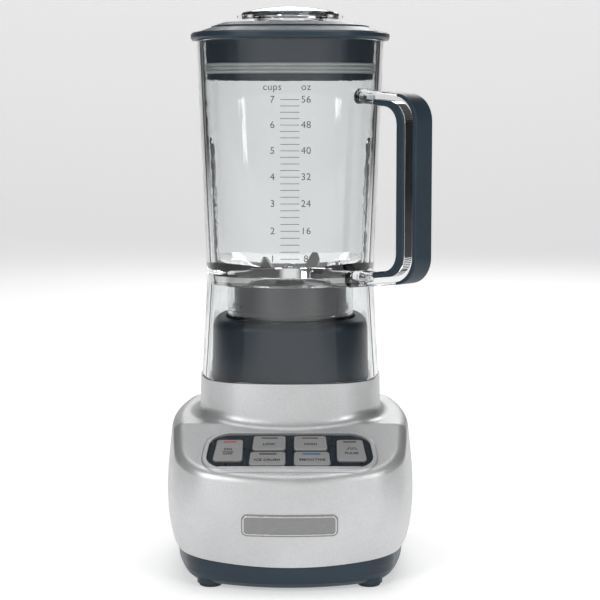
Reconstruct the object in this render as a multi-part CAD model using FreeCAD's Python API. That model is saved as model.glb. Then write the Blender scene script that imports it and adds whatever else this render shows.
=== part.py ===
"""Countertop blender: motor base with six press buttons, clear jar on a threaded blade collar, lid and pour cap.

Units are millimetres. +Z is up, -Y is the control panel side, and the origin is on the blade axis at the
worktop. The jar's handle points to the front right corner, at 45 degrees between +X and -Y.
"""

import FreeCAD
import Part
import math
import os

from FreeCAD import Placement, Rotation, Vector

# ---------------------------------------------------------------- driving sizes

# heights above the worktop, from the base up
pan_bottom_z = 2.6          # underside of the base pan, which is how far the feet stand out
housing_bottom_z = 19.5     # lower edge of the painted housing in the middle of the front
housing_waist_z = 52.0      # widest level of the housing
housing_chest_z = 90.0      # level where the housing starts to draw in
shoulder_z = 110.0          # flat shoulder round the neck
housing_crown_z = 130.0     # last level of the housing's outline, above where it is cut off
ledge_z = 138.0             # rim of the neck that the jar stands on
pedestal_top_z = ledge_z + 42.0
floor_under_z = ledge_z + 68.0      # underside of the jar's floor, at the seam between jar and skirt
jar_rim_z = floor_under_z + 174.4
lid_edge_z = jar_rim_z + 5.6
lid_step_z = lid_edge_z + 3.6
lid_top_z = lid_step_z + 3.4
cap_top_z = lid_top_z + 12.5

# housing
housing_w = 179.0
housing_d = 222.0
housing_centre_y = -13.0
housing_draw_in = 10.1      # how much narrower the housing is at its lower edge
housing_foot_w = housing_w - housing_draw_in
housing_foot_d = housing_d - housing_draw_in
housing_foot_r = 38.0       # corner radius and bow at the lower edge
housing_foot_bow = 8.0
housing_corner_r = 34.0     # corner radius and bow from the chest up
housing_bow = 6.0
edge_rise_r = 580.0         # radius of the curve that the lower edge rises on towards the sides
housing_wall = 3.0
shoulder_fillet = 8.0
neck_w = 131.8
neck_foot_w = 134.5
neck_foot_z = 70.0          # level where the neck has its foot width, hidden in the housing
neck_corner_r = 37.0
neck_bow = 3.0
neck_wall = 3.2

# sloping control panel
slope_deg = 25.0
slope_front_y = housing_centre_y - housing_d / 2 + 3.0      # where the slope would meet the front wall
slope_front_z = 82.5
panel_centre_y = slope_front_y + 27.0
panel_w = 117.0
panel_h = 39.8
panel_top_narrowing = 3.5   # how much nearer the centre each top corner is
panel_corner_low_r = 12.0
panel_corner_high_r = 16.0
panel_notch_w = 100.0       # shallow step in the panel's lower edge
panel_notch_h = 1.2
bezel_t = 2.0
trim_w = 3.6
trim_h = 1.8
panel_frame_t = 3.2         # frame under the bezel, inside the housing
window_inset = 1.0          # ledge that the bezel rests on, round the opening

# buttons: inner edge, lower outer corner, upper outer corner, lower edge, upper edge, from the panel's centre
side_button = (32.6, 53.4, 50.6, -11.4, 13.2)
high_row = (2.9, 26.4, 25.2, 1.3, 17.8)
low_row = (2.9, 28.4, 27.2, -16.6, -1.0)
left_buttons = ("power", "low", "ice")
button_gap = 0.35
button_rise = 1.5
button_low = -5.0           # underside of a button, from the panel's face
button_travel = 1.0
button_travel_stop = 0.4    # gap between the bezel and a button's flange
button_flange = 0.8
button_flange_t = 1.4
button_corner_r = 2.4
button_facet = 0.5          # how far the strip behind a button's crease falls away
button_crease = 5.2         # from the upper edge
lens_h = 1.5
lens_share = 0.5            # of its button's width
lens_depth = 1.2

# control board under the panel, and the power board behind the motor
board_t = 1.6
board_top = -9.4            # below the panel's face
board_w = 118.0
board_h = 40.0
board_holes = [(sx * (board_w / 2 - 4), sy * (board_h / 2 - 3.4)) for sx in (-1, 1) for sy in (-1, 1)]
power_board_z = 20.0
board_y = 64.0              # middle of the power board
board_post_x = 26.0
board_post_y = 6.0

# pedestal on the neck
pedestal_w = 118.4
pedestal_top_w = 117.6
pedestal_corner_r = 33.0
pedestal_bow = 3.0
pedestal_wall = 3.0
pedestal_fillet = 6.0
pedestal_boss_r = 3.4
pedestal_boss_h = 12.0
pedestal_boss_x = pedestal_w / 2 - pedestal_wall - pedestal_boss_r + 0.6
pedestal_screw_points = [(sx * pedestal_boss_x, sy * 26.0) for sx in (-1, 1) for sy in (-1, 1)]
well_w = 2 * (pedestal_boss_x - pedestal_boss_r + 0.6)      # opening in the neck's top, inside the bosses
well_corner_r = 30.0

# clearances
seat_gap = 0.3              # between faces of different bodies that rest on each other
slip_gap = 0.3              # round a piece that drops into a hole of its own shape
seal_gap = 0.05             # between a seal and the face it closes on
spin_gap = 0.04             # shaft in a bushing
far = 400.0                 # longer than anything that it cuts

# jar
jar_top_w = 135.9
jar_waist_w = 122.6
jar_foot_w = 130.0
jar_corner_r = 37.0
jar_bow = 3.0
jar_wall = 3.2
skirt_wall = 2.8
floor_top_z = floor_under_z + 6.0   # floor at the edge of its opening
floor_slope = 0.42
rib_r = 4.6
rib_top_z = jar_rim_z - 74.4
neck_tube_r = 46.9
neck_tube_wall = 3.3
neck_tube_bottom_z = floor_under_z - 38.0
floor_hole_r = neck_tube_r - 8.9

# screw thread between the jar's neck and the collar
thread_lead = 12.0
thread_starts = 2
thread_h = 1.6              # height of a ridge
thread_root_w = 2.4
thread_crest_w = 1.4
thread_turns = 1.1
thread_bottom_z = neck_tube_bottom_z + 5.0
thread_gap = 0.45           # radial gap between a crest and the wall it faces

# handle, in the plane that holds the blade axis and the handle
handle_deg = -45.0
handle_w = 17.0
handle_outer_r = 130.0
handle_depth = 19.0
handle_start_r = 72.0       # the jar's corner, where the arms start to lean
handle_top_z = jar_rim_z - 34.4
handle_bottom_z = floor_under_z
handle_arm_h = 10.0
handle_arm_drop = 5.5       # how far the upper arm leans in towards the grip's end
handle_low_lean = 1.25      # how much more the lower arm leans than the upper
handle_corner_r = 19.0
handle_inner_corner_r = 12.7
grip_inner_t = 8.0
grip_outer_t = 3.6
grip_inner_from_r = 90.0
grip_outer_from_r = 112.0
handle_root_w = 26.0
handle_root_h = 13.0

# lid and cap
lid_w = 144.4
lid_corner_r = 44.0
lid_bow = 4.0
lid_wall = 2.8
lid_hole_r = 24.2
plug_depth = 28.5
plug_gap = 1.6
seal_h = 7.6
seal_ribs = 3
seal_base_t = 1.5
seal_low_z = jar_rim_z + seat_gap - plug_depth + 4.0
cap_seat_z = lid_top_z + seat_gap
cap_plug_r = lid_hole_r - 0.8
cap_shoulder_r = lid_hole_r + 2.2
cap_flange_r = lid_hole_r + 11.4
cap_flange_t = 5.0
cap_wall = 2.0
cap_depth = 31.0            # of the plug below the lid's top
cap_wing_reach = cap_flange_r + 2.7
cap_wing_w = 13.0
cap_groove_r = cap_plug_r - 0.9
ring_h = 3.2
ring_z = lid_top_z - 14.0

# blade carrier and the collar that clamps it into the jar's neck
gasket_t = 2.0
carrier_flange_t = 3.0
carrier_top_z = floor_under_z - seal_gap - gasket_t
flange_under_z = carrier_top_z - carrier_flange_t
collar_top_z = flange_under_z - seal_gap
collar_r = neck_tube_r - neck_tube_wall - thread_h - thread_gap
collar_inner_r = collar_r - 4.5
collar_bottom_z = neck_tube_bottom_z - 3.2
collar_notches = 36
hub_top_z = floor_under_z + 1.5
hub_low_z = floor_under_z - 20.0
bushing_r = 6.5
recess_r = neck_tube_r + 1.6        # well in the pedestal for the collar
recess_floor_z = collar_bottom_z - 1.3

# blades
shaft_r = 4.0
shaft_step = 0.8            # how much thinner the shaft is above its shoulder
washer_t = 1.0
washer_r = shaft_r + 3.0
nut_r = shaft_r + 0.7       # to the nut's corners
nut_h = 3.2
blade_t = 1.5
blade_w = 14.0
upper_blade_deg = 42.0      # direction of one upper wing, from +X
lower_blade_deg = -20.0
upper_bend_deg = 58.0
lower_bend_deg = 24.0
upper_flat_r = 20.0         # reach of a wing's flat part
lower_flat_r = 17.0
wing_l = 15.5               # length of a wing past its knee
knee_r = 2.0
ground_w = 1.8              # of the bevel on a blade's leading edge
ground_h = 0.9
shoulder_h = 0.9            # how far the shaft's shoulder stands over the hub
lower_blade_z = hub_top_z + shoulder_h + washer_t
upper_blade_z = lower_blade_z + blade_t

# motor
motor_shaft_r = 4.0
stator_w = 86.0
stator_bore_r = 27.2
stator_low_z = 62.0
stator_high_z = 102.0
armature_r = 26.4
armature_slots = 12
fan_r = 38.0
commutator_r = 13.0
commutator_low_z = 109.0
commutator_high_z = 120.0
commutator_bars = 24
brush_z = 114.5
bearing_r = 11.0
bearing_h = 7.0
motor_post = 38.0           # of each isolator from the axis, in x and in y
isolator_low_z = 30.0
isolator_high_z = 38.0
frame_low_z = isolator_high_z
frame_t = 4.0
upper_frame_z = 122.0
tie_points = [(sx * 36.5, sy * 36.5) for sx in (-1, 1) for sy in (-1, 1)]

# couplings between the motor shaft and the blade shaft
coupling_top_z = pedestal_top_z - 2.8
coupling_low_z = coupling_top_z - 11.8
coupling_r = 11.6
coupling_valley_r = 8.0
coupling_points = 6
coupling_gap = 0.35
socket_top_z = coupling_top_z + 0.8
jar_coupling_low_z = coupling_low_z + 3.2
jar_coupling_top_z = socket_top_z + 6.0
jar_coupling_wall = 4.2

# base pan, feet, screws and cord inlet
pan_overhang = 2.0          # how far the housing stands out over the pan
pan_w = housing_foot_w - 2 * pan_overhang
pan_d = housing_foot_d - 2 * pan_overhang
pan_corner_r = housing_foot_r - pan_overhang
pan_bow = housing_foot_bow
pan_turn_in = ((0.0, 8.6), (1.4, 5.0), (4.0, 2.4), (8.0, 0.8), (14.0, 0.0))   # height over the underside, inset
pan_wall = 3.0
pan_floor_t = 3.0
pan_lip_h = 4.0             # of the lip that fits inside the housing
screw_r = 1.9
screw_inset_x = 16.0        # of the pan's screws from its sides
screw_inset_y = 52.0
housing_boss_z = 25.5
boss_rib_z = 31.0
boss_top_z = 62.0
foot_r = 8.2
foot_inset = 12.0           # of a foot's centre from the pan's corner arc
foot_stem_r = 3.2
foot_pad_r = 9.4           # pad under the pan that a foot is fixed to
foot_pad_h = 9.0
vent_count = 7
vent_pitch = 8.0
vent_field_r = 30.0
vent_w = 3.2
cord_bore_r = 3.75
cord_z = 36.0
grommet_r = 6.5
grommet_flange_r = 9.5
grommet_l = 17.0
grommet_inside = 9.0        # how much of it lies inside the wall's outer face

# badge
badge_w = 66.2
badge_h = 15.2
badge_t = 1.2
badge_z = 49.8
badge_corner_r = 4.0

# ---------------------------------------------------------------- shape helpers


def squircle(w, d, r, bow, z, centre_y=0.0):
    """Closed outline w by d at height z: four sides that bow out, joined by tangent corner arcs."""
    cx = w / 2 - r - bow
    cy = d / 2 - r - bow
    side_x = r + (bow * bow + cy * cy) / (2 * bow)
    side_y = r + (bow * bow + cx * cx) / (2 * bow)
    x_from, y_from = w / 2 - side_x, d / 2 - side_y
    ux, uy = cx - x_from, cy
    k = math.hypot(ux, uy)
    ax, ay = cx + ux / k * r, cy + uy / k * r
    ux, uy = cx, cy - y_from
    k = math.hypot(ux, uy)
    bx, by = cx + ux / k * r, cy + uy / k * r
    mx, my = ax + bx - 2 * cx, ay + by - 2 * cy
    k = math.hypot(mx, my)
    mx, my = cx + mx / k * r, cy + my / k * r

    def at(x, y):
        return Vector(x, y + centre_y, z)

    def arc(p, q, s):
        return Part.Arc(at(*p), at(*q), at(*s)).toShape()

    return Part.Wire([
        arc((ax, -ay), (w / 2, 0), (ax, ay)),
        arc((ax, ay), (mx, my), (bx, by)),
        arc((bx, by), (0, d / 2), (-bx, by)),
        arc((-bx, by), (-mx, my), (-ax, ay)),
        arc((-ax, ay), (-w / 2, 0), (-ax, -ay)),
        arc((-ax, -ay), (-mx, -my), (-bx, -by)),
        arc((-bx, -by), (0, -d / 2), (bx, -by)),
        arc((bx, -by), (mx, -my), (ax, -ay)),
    ])


def square(w, r, bow, z):
    return squircle(w, w, r, bow, z)


def loft(*wires, ruled=True):
    return Part.makeLoft(list(wires), True, ruled)


def cyl(r, z0, z1, x=0.0, y=0.0):
    return Part.makeCylinder(r, z1 - z0, Vector(x, y, z0))


def ring(outer, inner, z0, z1, x=0.0, y=0.0):
    return cyl(outer, z0, z1, x, y).cut(cyl(inner, z0 - 1, z1 + 1, x, y))


def box(x0, x1, y0, y1, z0, z1):
    return Part.makeBox(x1 - x0, y1 - y0, z1 - z0, Vector(x0, y0, z0))


def revolve(points):
    """Solid of revolution about the blade axis, from (r, z) points of a closed outline."""
    wire = Part.makePolygon([Vector(r, 0, z) for r, z in points + points[:1]])
    return Part.Face(wire).revolve(Vector(0, 0, 0), Vector(0, 0, 1), 360)


def rounded_outline(points, radii):
    """Closed flat outline through (x, y) points, each corner rounded to its own radius."""
    n = len(points)
    edges, ends = [], []
    for i, (px, py) in enumerate(points):
        p = Vector(px, py, 0)
        if not radii[i]:
            ends.append((p, None, p))
            continue
        a = (Vector(*points[i - 1], 0) - p).normalize()
        b = (Vector(*points[(i + 1) % n], 0) - p).normalize()
        half = math.acos(max(-1, min(1, a.dot(b)))) / 2
        reach = radii[i] / math.tan(half)
        bisector = (a + b).normalize()
        middle = p + bisector * (radii[i] / math.sin(half) - radii[i])
        ends.append((p + a * reach, middle, p + b * reach))
    for i, (start, middle, end) in enumerate(ends):
        if middle is not None:
            edges.append(Part.Arc(start, middle, end).toShape())
        following = ends[(i + 1) % n][0]
        if (following - end).Length > 1e-6:
            edges.append(Part.LineSegment(end, following).toShape())
    return Part.Wire(edges)


def plate(wire, z0, z1):
    """Prism on a flat outline drawn at height 0."""
    face = Part.Face(wire)
    face.translate(Vector(0, 0, z0))
    return face.extrude(Vector(0, 0, z1 - z0))


def grown(wire, by):
    return wire.makeOffset2D(by) if abs(by) > 1e-9 else wire


def group(shapes):
    return Part.makeCompound(list(shapes))


def turned(shape, degrees):
    copy = shape.copy()
    copy.rotate(Vector(0, 0, 0), Vector(0, 0, 1), degrees)
    return copy


def edges_on(shape, test):
    """Edges whose middle and ends all meet the test."""
    found = []
    for edge in shape.Edges:
        middle = edge.valueAt((edge.FirstParameter + edge.LastParameter) / 2)
        if all(test(p) for p in [middle] + [v.Point for v in edge.Vertexes]):
            found.append(edge)
    return found


def at_height(shape, z, within=0.05):
    return edges_on(shape, lambda p: abs(p.z - z) < within)


def outer_only(edges, r):
    """The edges that lie further than r from the blade axis."""
    return [e for e in edges if all(math.hypot(v.Point.x, v.Point.y) > r for v in e.Vertexes)]


def star(outer, inner, points, z0, z1):
    """Prism with alternating points and valleys, for a spline coupling."""
    corners = []
    for i in range(2 * points):
        r = inner if i % 2 else outer
        angle = math.pi * i / points
        corners.append((r * math.cos(angle), r * math.sin(angle)))
    return plate(rounded_outline(corners, [0.6] * len(corners)), z0, z1)


def helix_ridge(root_r, height, embed, z0):
    """One start of a right-hand thread ridge; a negative height points inwards."""
    sign = 1 if height > 0 else -1
    path = Part.makeHelix(thread_lead, thread_lead * thread_turns, root_r)
    profile = Part.makePolygon([
        Vector(root_r - sign * embed, 0, -thread_root_w / 2),
        Vector(root_r + height, 0, -thread_crest_w / 2),
        Vector(root_r + height, 0, thread_crest_w / 2),
        Vector(root_r - sign * embed, 0, thread_root_w / 2),
        Vector(root_r - sign * embed, 0, -thread_root_w / 2),
    ])
    ridge = Part.Wire(path).makePipeShell([profile], True, True)
    ridge.translate(Vector(0, 0, z0))
    return ridge


# ---------------------------------------------------------------- control panel frame

slope = math.radians(slope_deg)
panel_centre = Vector(0, panel_centre_y, slope_front_z + (panel_centre_y - slope_front_y) * math.tan(slope))
panel_place = Placement(panel_centre, Rotation(Vector(1, 0, 0), slope_deg))
panel_normal = Vector(0, -math.sin(slope), math.cos(slope))


def on_panel(shape):
    """Carries a shape drawn flat, with its face at height 0, onto the sloping panel."""
    copy = shape.copy()
    copy.Placement = panel_place.multiply(copy.Placement)
    return copy


def panel_outline():
    """The control panel's outline, with a shallow step along its lower edge."""
    w, h, n = panel_w / 2, panel_h / 2, panel_notch_w / 2
    top = w - panel_top_narrowing
    outline = rounded_outline([(-w, -h), (w, -h), (top, h), (-top, h)],
                              [panel_corner_low_r, panel_corner_low_r, panel_corner_high_r, panel_corner_high_r])
    return outline, n, h


def panel_plate(z0, z1, by=0.0, notched=True):
    outline, n, h = panel_outline()
    body = plate(grown(outline, by), z0, z1)
    if notched:
        slot_y = -h - by + panel_notch_h
        slot = rounded_outline([(-n, -h - far), (n, -h - far), (n - panel_notch_h, slot_y), (-n + panel_notch_h, slot_y)],
                               [0.5] * 4)
        body = body.cut(plate(slot, z0 - 1, z1 + 1))
    return body


def button_outline(name):
    u0, u1, top_u1, v0, v1 = button_layout[name]
    side = -1 if name in left_buttons else 1
    points = [(side * u0, v0), (side * u1, v0), (side * top_u1, v1), (side * u0, v1)]
    if side < 0:
        points = points[::-1]
    return rounded_outline(points, [button_corner_r] * 4)


button_layout = {
    "power": side_button,
    "low": high_row,
    "ice": low_row,
    "high": high_row,
    "smoothie": low_row,
    "pulse": side_button,
}

# ---------------------------------------------------------------- base


def housing_sections(inset=0.0):
    """The housing's upright body, before its top is cut."""
    waist_r, waist_bow = (housing_foot_r + housing_corner_r) / 2, (housing_foot_bow + housing_bow) / 2
    levels = [
        (housing_bottom_z, housing_foot_w, housing_foot_d, housing_foot_r, housing_foot_bow),
        (housing_waist_z, housing_w, housing_d, waist_r, waist_bow),
        (housing_chest_z, housing_w - 4.0, housing_d - 6.0, housing_corner_r, housing_bow),
        (housing_crown_z, housing_w - 12.0, housing_d - 16.0, housing_corner_r, housing_bow),
    ]
    wires = []
    for z, w, d, r, bow in levels:
        wires.append(squircle(w - 2 * inset, d - 2 * inset, r - inset, bow, z, housing_centre_y))
    return loft(*wires, ruled=False)


def above_edge(raised=0.0):
    """Everything over the housing's lower edge, which curves up from the front's middle to the sides."""
    low = Vector(0, -far, housing_bottom_z + raised + edge_rise_r)
    return Part.makeCylinder(edge_rise_r, 2 * far, low, Vector(0, 1, 0))


def above_slope(lower_by=0.0):
    """Everything over the sloping face, or over one that lies lower_by beneath it."""
    block = box(-far, far, -far, far, 0, far)
    block.rotate(Vector(0, 0, 0), Vector(1, 0, 0), slope_deg)
    block.translate(Vector(0, slope_front_y, slope_front_z) - panel_normal * lower_by)
    return block


def neck_solid(inset=0.0, z0=neck_foot_z - 10.0, z1=ledge_z):
    """The squared neck, or its inside."""
    def at(z):
        share = (ledge_z - z) / (ledge_z - neck_foot_z)
        w = neck_w + (neck_foot_w - neck_w) * share - 2 * inset
        return square(w, neck_corner_r - inset, neck_bow, z)
    return loft(at(z0), at(z1))


def slope_test(p):
    return abs((p - Vector(0, slope_front_y, slope_front_z)).dot(panel_normal)) < 0.05


def housing_outside():
    body = housing_sections().common(above_edge())
    body = body.cut(above_slope()).cut(box(-far, far, -far, far, shoulder_z, far))
    rim = edges_on(body, lambda p: slope_test(p) or abs(p.z - shoulder_z) < 0.05)
    body = body.makeFillet(shoulder_fillet, rim)
    neck = neck_solid()
    whole = body.fuse(neck)

    def at_the_neck(p):
        on_top = slope_test(p) or abs(p.z - shoulder_z) < 0.05
        return on_top and max(abs(p.x), abs(p.y)) < neck_foot_w / 2 + 1

    return whole.makeFillet(shoulder_fillet, edges_on(whole, at_the_neck))


def corner_points(w, d, r, bow, centre_y, inward):
    """A point on each corner's diagonal, inward from the corner's arc."""
    cx, cy = w / 2 - r - bow, d / 2 - r - bow
    k = (r - inward) / math.sqrt(2)
    return [(sx * (cx + k), centre_y + sy * (cy + k)) for sx in (-1, 1) for sy in (-1, 1)]


foot_points = corner_points(pan_w, pan_d, pan_corner_r, pan_bow, housing_centre_y, foot_inset)
screw_points = [(sx * (pan_w / 2 - screw_inset_x), housing_centre_y + sy * (pan_d / 2 - screw_inset_y))
                for sx in (-1, 1) for sy in (-1, 1)]


def housing():
    outside = housing_outside()
    inside = housing_sections(housing_wall).cut(above_slope(housing_wall))
    inside = inside.cut(box(-far, far, -far, far, shoulder_z - housing_wall, far))
    shell = outside.cut(inside).cut(neck_solid(neck_wall, z1=ledge_z - neck_wall))
    for x, y in screw_points:
        boss = cyl(5.0, housing_boss_z, boss_top_z, x, y)
        rib = box(min(x, 2 * x), max(x, 2 * x), y - 1.25, y + 1.25, boss_rib_z, boss_top_z)
        shell = shell.fuse(boss.fuse(rib).common(housing_sections(housing_wall / 2)))
        shell = shell.cut(cyl(screw_r, housing_boss_z - 1, boss_top_z - 4, x, y))
    trim = panel_plate(-housing_wall, trim_h, trim_w, notched=False)
    crest = edges_on(trim, lambda p: abs(p.z - trim_h) < 0.01)
    frame = panel_plate(-bezel_t - panel_frame_t, -housing_wall / 2, trim_w, notched=False)
    posts = [cyl(3.0, board_top, -bezel_t - panel_frame_t + 0.5, x, y) for x, y in board_holes]
    shell = shell.fuse(on_panel(trim.makeFillet(1.2, crest).fuse(frame)))
    shell = shell.fuse([on_panel(p) for p in posts])
    tongue = panel_plate(-bezel_t, trim_h + 1, slip_gap / 2)
    window = panel_plate(-bezel_t - panel_frame_t - 1, trim_h + 1, -window_inset)
    shell = shell.cut(on_panel(tongue)).cut(on_panel(window.cut(group(posts))))
    shell = shell.cut([on_panel(cyl(1.1, board_top - 1, board_top + 5, x, y)) for x, y in board_holes])
    below = square(well_w, well_corner_r, pedestal_bow, ledge_z - neck_wall - 1)
    above = square(well_w, well_corner_r, pedestal_bow, ledge_z + 1)
    shell = shell.cut(loft(below, above))
    shell = shell.cut([cyl(1.4, ledge_z - neck_wall - 1, ledge_z + 1, x, y) for x, y in pedestal_screw_points])
    shell = shell.cut(badge_blank(badge_t / 2))
    inlet = Part.makeCylinder(grommet_r, 40, Vector(0, housing_d / 2 + housing_centre_y - 30, cord_z), Vector(0, 1, 0))
    return shell.cut(inlet)


def badge_blank(depth, proud=0.0):
    """The badge's rounded plate, following the front wall from depth below it to proud of it."""
    w, h = badge_w / 2, badge_h / 2
    outline = rounded_outline([(-w, -h), (w, -h), (w, h), (-w, h)], [badge_corner_r] * 4)
    block = plate(outline, 0, far)
    block.rotate(Vector(0, 0, 0), Vector(1, 0, 0), 90)
    block.translate(Vector(0, housing_centre_y, badge_z))
    band = housing_sections(-proud) if proud else housing_sections(-1.0)
    return block.common(band).cut(housing_sections(depth))


def badge_plate():
    body = badge_blank(badge_t / 2, badge_t / 2)
    inset = badge_w / 2 - 0.05
    trim_to = box(-inset, inset, -far, 0, badge_z - badge_h / 2 + 0.05, badge_z + badge_h / 2 - 0.05)
    return body.common(trim_to)


def pan_sections(inset=0.0):
    """The dark base pan's outer form, from its turned-in bottom edge to above its upper edge."""
    floor_z = pan_bottom_z + (pan_floor_t if inset else 0.0)
    shape = [(pan_bottom_z + rise, turn_in) for rise, turn_in in pan_turn_in]
    shape = [(floor_z, pan_turn_in[0][1])] + [s for s in shape if s[0] > floor_z] + [(housing_waist_z, 0.0)]
    wires = []
    for z, turn_in in shape:
        by = 2 * (inset + turn_in)
        wires.append(squircle(pan_w - by, pan_d - by, pan_corner_r - inset - turn_in / 2, pan_bow, z, housing_centre_y))
    return loft(*wires)


def pan_lip():
    """The lip that fits inside the housing's wall, filled across."""
    by = housing_wall + slip_gap
    lip = (housing_foot_w - 2 * by, housing_foot_d - 2 * by, housing_foot_r - by, housing_foot_bow)
    low = squircle(*lip, housing_bottom_z - 1, housing_centre_y)
    high = squircle(*lip, housing_waist_z, housing_centre_y)
    return loft(low, high).cut(above_edge(pan_lip_h))


def base_pan():
    """Dark pan under the housing, with its lip, foot pads, bosses and air slots."""
    outer = pan_sections().cut(above_edge())
    pads = [cyl(foot_pad_r, pan_bottom_z, pan_bottom_z + foot_pad_h, x, y) for x, y in foot_points]
    outer = outer.fuse([pan_lip()] + pads)
    body = outer.cut(pan_sections(pan_wall))
    adds, holes = [], []
    for x, y in screw_points:
        adds.append(cyl(5.5, pan_bottom_z + 2, housing_boss_z - 0.2, x, y))
        holes += [cyl(screw_r + 0.3, 0, housing_boss_z, x, y), cyl(3.8, 0, pan_bottom_z + 7, x, y)]
    over = pan_bottom_z + pan_floor_t
    for x, y in foot_points:
        holes += [cyl(foot_stem_r, 0, over + 1, x, y), cyl(foot_stem_r + 1.2, over, over + foot_pad_h, x, y)]
    for sx in (-1, 1):
        for sy in (-1, 1):
            adds.append(cyl(5.0, pan_bottom_z + 1, isolator_low_z, sx * motor_post, sy * motor_post))
            x, y = sx * board_post_x, board_y + sy * board_post_y
            adds.append(cyl(3.0, pan_bottom_z + 1, power_board_z, x, y))
    body = body.fuse(adds)
    for i in range(vent_count):
        y = (i - (vent_count - 1) / 2) * vent_pitch
        reach, half = math.sqrt(vent_field_r ** 2 - y * y), vent_w / 2
        slot = rounded_outline([(-reach, -half), (reach, -half), (reach, half), (-reach, half)], [half - 0.1] * 4)
        slot = plate(slot, 0, over + 1)
        slot.translate(Vector(0, y, 0))
        holes.append(slot)
    return body.cut(holes)


def feet():
    """Four rubber feet, each a turned-in disc with a stem that snaps through the pan's floor."""
    top = pan_bottom_z
    over = pan_bottom_z + pan_floor_t
    feet_made = []
    for x, y in foot_points:
        foot = revolve([(0, 0), (foot_r - 1.6, 0), (foot_r - 0.6, 0.5), (foot_r, 1.6), (foot_r, top),
                        (foot_stem_r, top), (foot_stem_r, over + 0.1), (foot_stem_r + 0.9, over + 0.5),
                        (foot_stem_r - 1.0, over + 3.2), (0, over + 3.2)])
        foot.translate(Vector(x, y, 0))
        feet_made.append(foot)
    return group(feet_made)


def base_screws():
    """Four screws from below that hold the pan to the housing."""
    made = []
    for x, y in screw_points:
        head_z = pan_bottom_z + 7
        head = cyl(3.4, head_z - 2.4, head_z, x, y)
        slot = box(x - 2.2, x + 2.2, y - 0.5, y + 0.5, head_z - 3, head_z - 1.6)
        cross = box(x - 0.5, x + 0.5, y - 2.2, y + 2.2, head_z - 3, head_z - 1.6)
        made.append(head.fuse(cyl(screw_r, head_z - 0.5, boss_top_z - 14, x, y)).cut([slot, cross]))
    return group(made)


def cord_grommet():
    """Rubber bush in the back wall that a 7.5 mm mains lead passes through."""
    wall_y = back_wall_y()
    start = wall_y - grommet_inside
    axis = Vector(0, 1, 0)
    body = Part.makeCylinder(grommet_r, grommet_l, Vector(0, start, cord_z), axis)
    inner_flange = Part.makeCylinder(grommet_flange_r, grommet_inside, Vector(0, start, cord_z), axis)
    inner_flange = inner_flange.common(housing_sections(housing_wall))
    outer_flange = Part.makeCone(grommet_flange_r, grommet_r + 1.2, 7.0, Vector(0, wall_y - 3.0, cord_z), axis)
    outer_flange = outer_flange.cut(housing_sections())
    bore = Part.makeCylinder(cord_bore_r, grommet_l + 20, Vector(0, start - 10, cord_z), axis)
    return body.fuse([inner_flange, outer_flange]).cut(bore)


def back_wall_y():
    """Where the housing's back wall is at the height of the cord inlet."""
    share = (cord_z - housing_bottom_z) / (housing_waist_z - housing_bottom_z)
    d = housing_foot_d + (housing_d - housing_foot_d) * math.sin(share * math.pi / 2)
    return d / 2 + housing_centre_y


def pedestal():
    """Dark block that the jar's skirt drops over, with a round well for the collar."""
    body = loft(square(pedestal_w, pedestal_corner_r, pedestal_bow, ledge_z),
                square(pedestal_top_w, pedestal_corner_r, pedestal_bow, pedestal_top_z))
    body = body.makeFillet(pedestal_fillet, at_height(body, pedestal_top_z))
    by = 2 * pedestal_wall
    inner_r = pedestal_corner_r - pedestal_wall
    hollow = loft(square(pedestal_w - by, inner_r, pedestal_bow, ledge_z - 1),
                  square(pedestal_top_w - by, inner_r, pedestal_bow, pedestal_top_z - pedestal_wall))
    hollow = hollow.cut(cyl(recess_r + pedestal_wall, recess_floor_z - pedestal_wall, far))
    bosses = [cyl(pedestal_boss_r, ledge_z, ledge_z + pedestal_boss_h, x, y) for x, y in pedestal_screw_points]
    body = body.cut(hollow).fuse(bosses).cut([cyl(recess_r, recess_floor_z, far), cyl(8.0, 0, far)])
    rim = [e for e in at_height(body, pedestal_top_z) if e.Curve.TypeId == "Part::GeomCircle"
           and abs(e.Curve.Radius - recess_r) < 0.01]
    body = body.makeFillet(1.0, rim)
    lip = ring(11.0, 8.0, recess_floor_z - 0.5, recess_floor_z + 1.2)
    holes = [cyl(1.2, ledge_z - 1, ledge_z + pedestal_boss_h - 2, x, y) for x, y in pedestal_screw_points]
    return body.fuse(lip).cut(holes)


def inner_screws():
    """Small screws: four up through the neck into the pedestal and four through the control board."""
    made = []
    low = ledge_z - neck_wall
    for x, y in pedestal_screw_points:
        made.append(cyl(2.4, low - 1.8, low, x, y).fuse(cyl(1.2, low - 1, ledge_z + 8, x, y)))
    for x, y in board_holes:
        head = cyl(2.2, board_top - board_t - 1.6, board_top - board_t, x, y)
        made.append(on_panel(head.fuse(cyl(1.1, board_top - board_t - 1, board_top + 4, x, y))))
    return group(made)


# ---------------------------------------------------------------- panel pieces


def panel_bezel():
    body = panel_plate(-bezel_t, 0.0)
    holes = [plate(grown(button_outline(name), button_gap), -bezel_t - 1, 1) for name in button_layout]
    return on_panel(body.cut(holes))


def lens_box(name, grow=0.0):
    """The indicator window near a button's upper edge."""
    u0, u1, top_u1, v0, v1 = button_layout[name]
    side = -1 if name in left_buttons else 1
    middle = side * (u0 + top_u1) / 2
    half = (top_u1 - u0) * lens_share / 2
    y = v1 - 3.0
    w = lens_h / 2
    top = button_rise - button_facet * 0.55
    outline = rounded_outline([(middle - half - grow, y - w - grow), (middle + half + grow, y - w - grow),
                               (middle + half + grow, y + w + grow), (middle - half - grow, y + w + grow)], [0.5] * 4)
    return plate(outline, top - lens_depth, top + 0.12)


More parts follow.
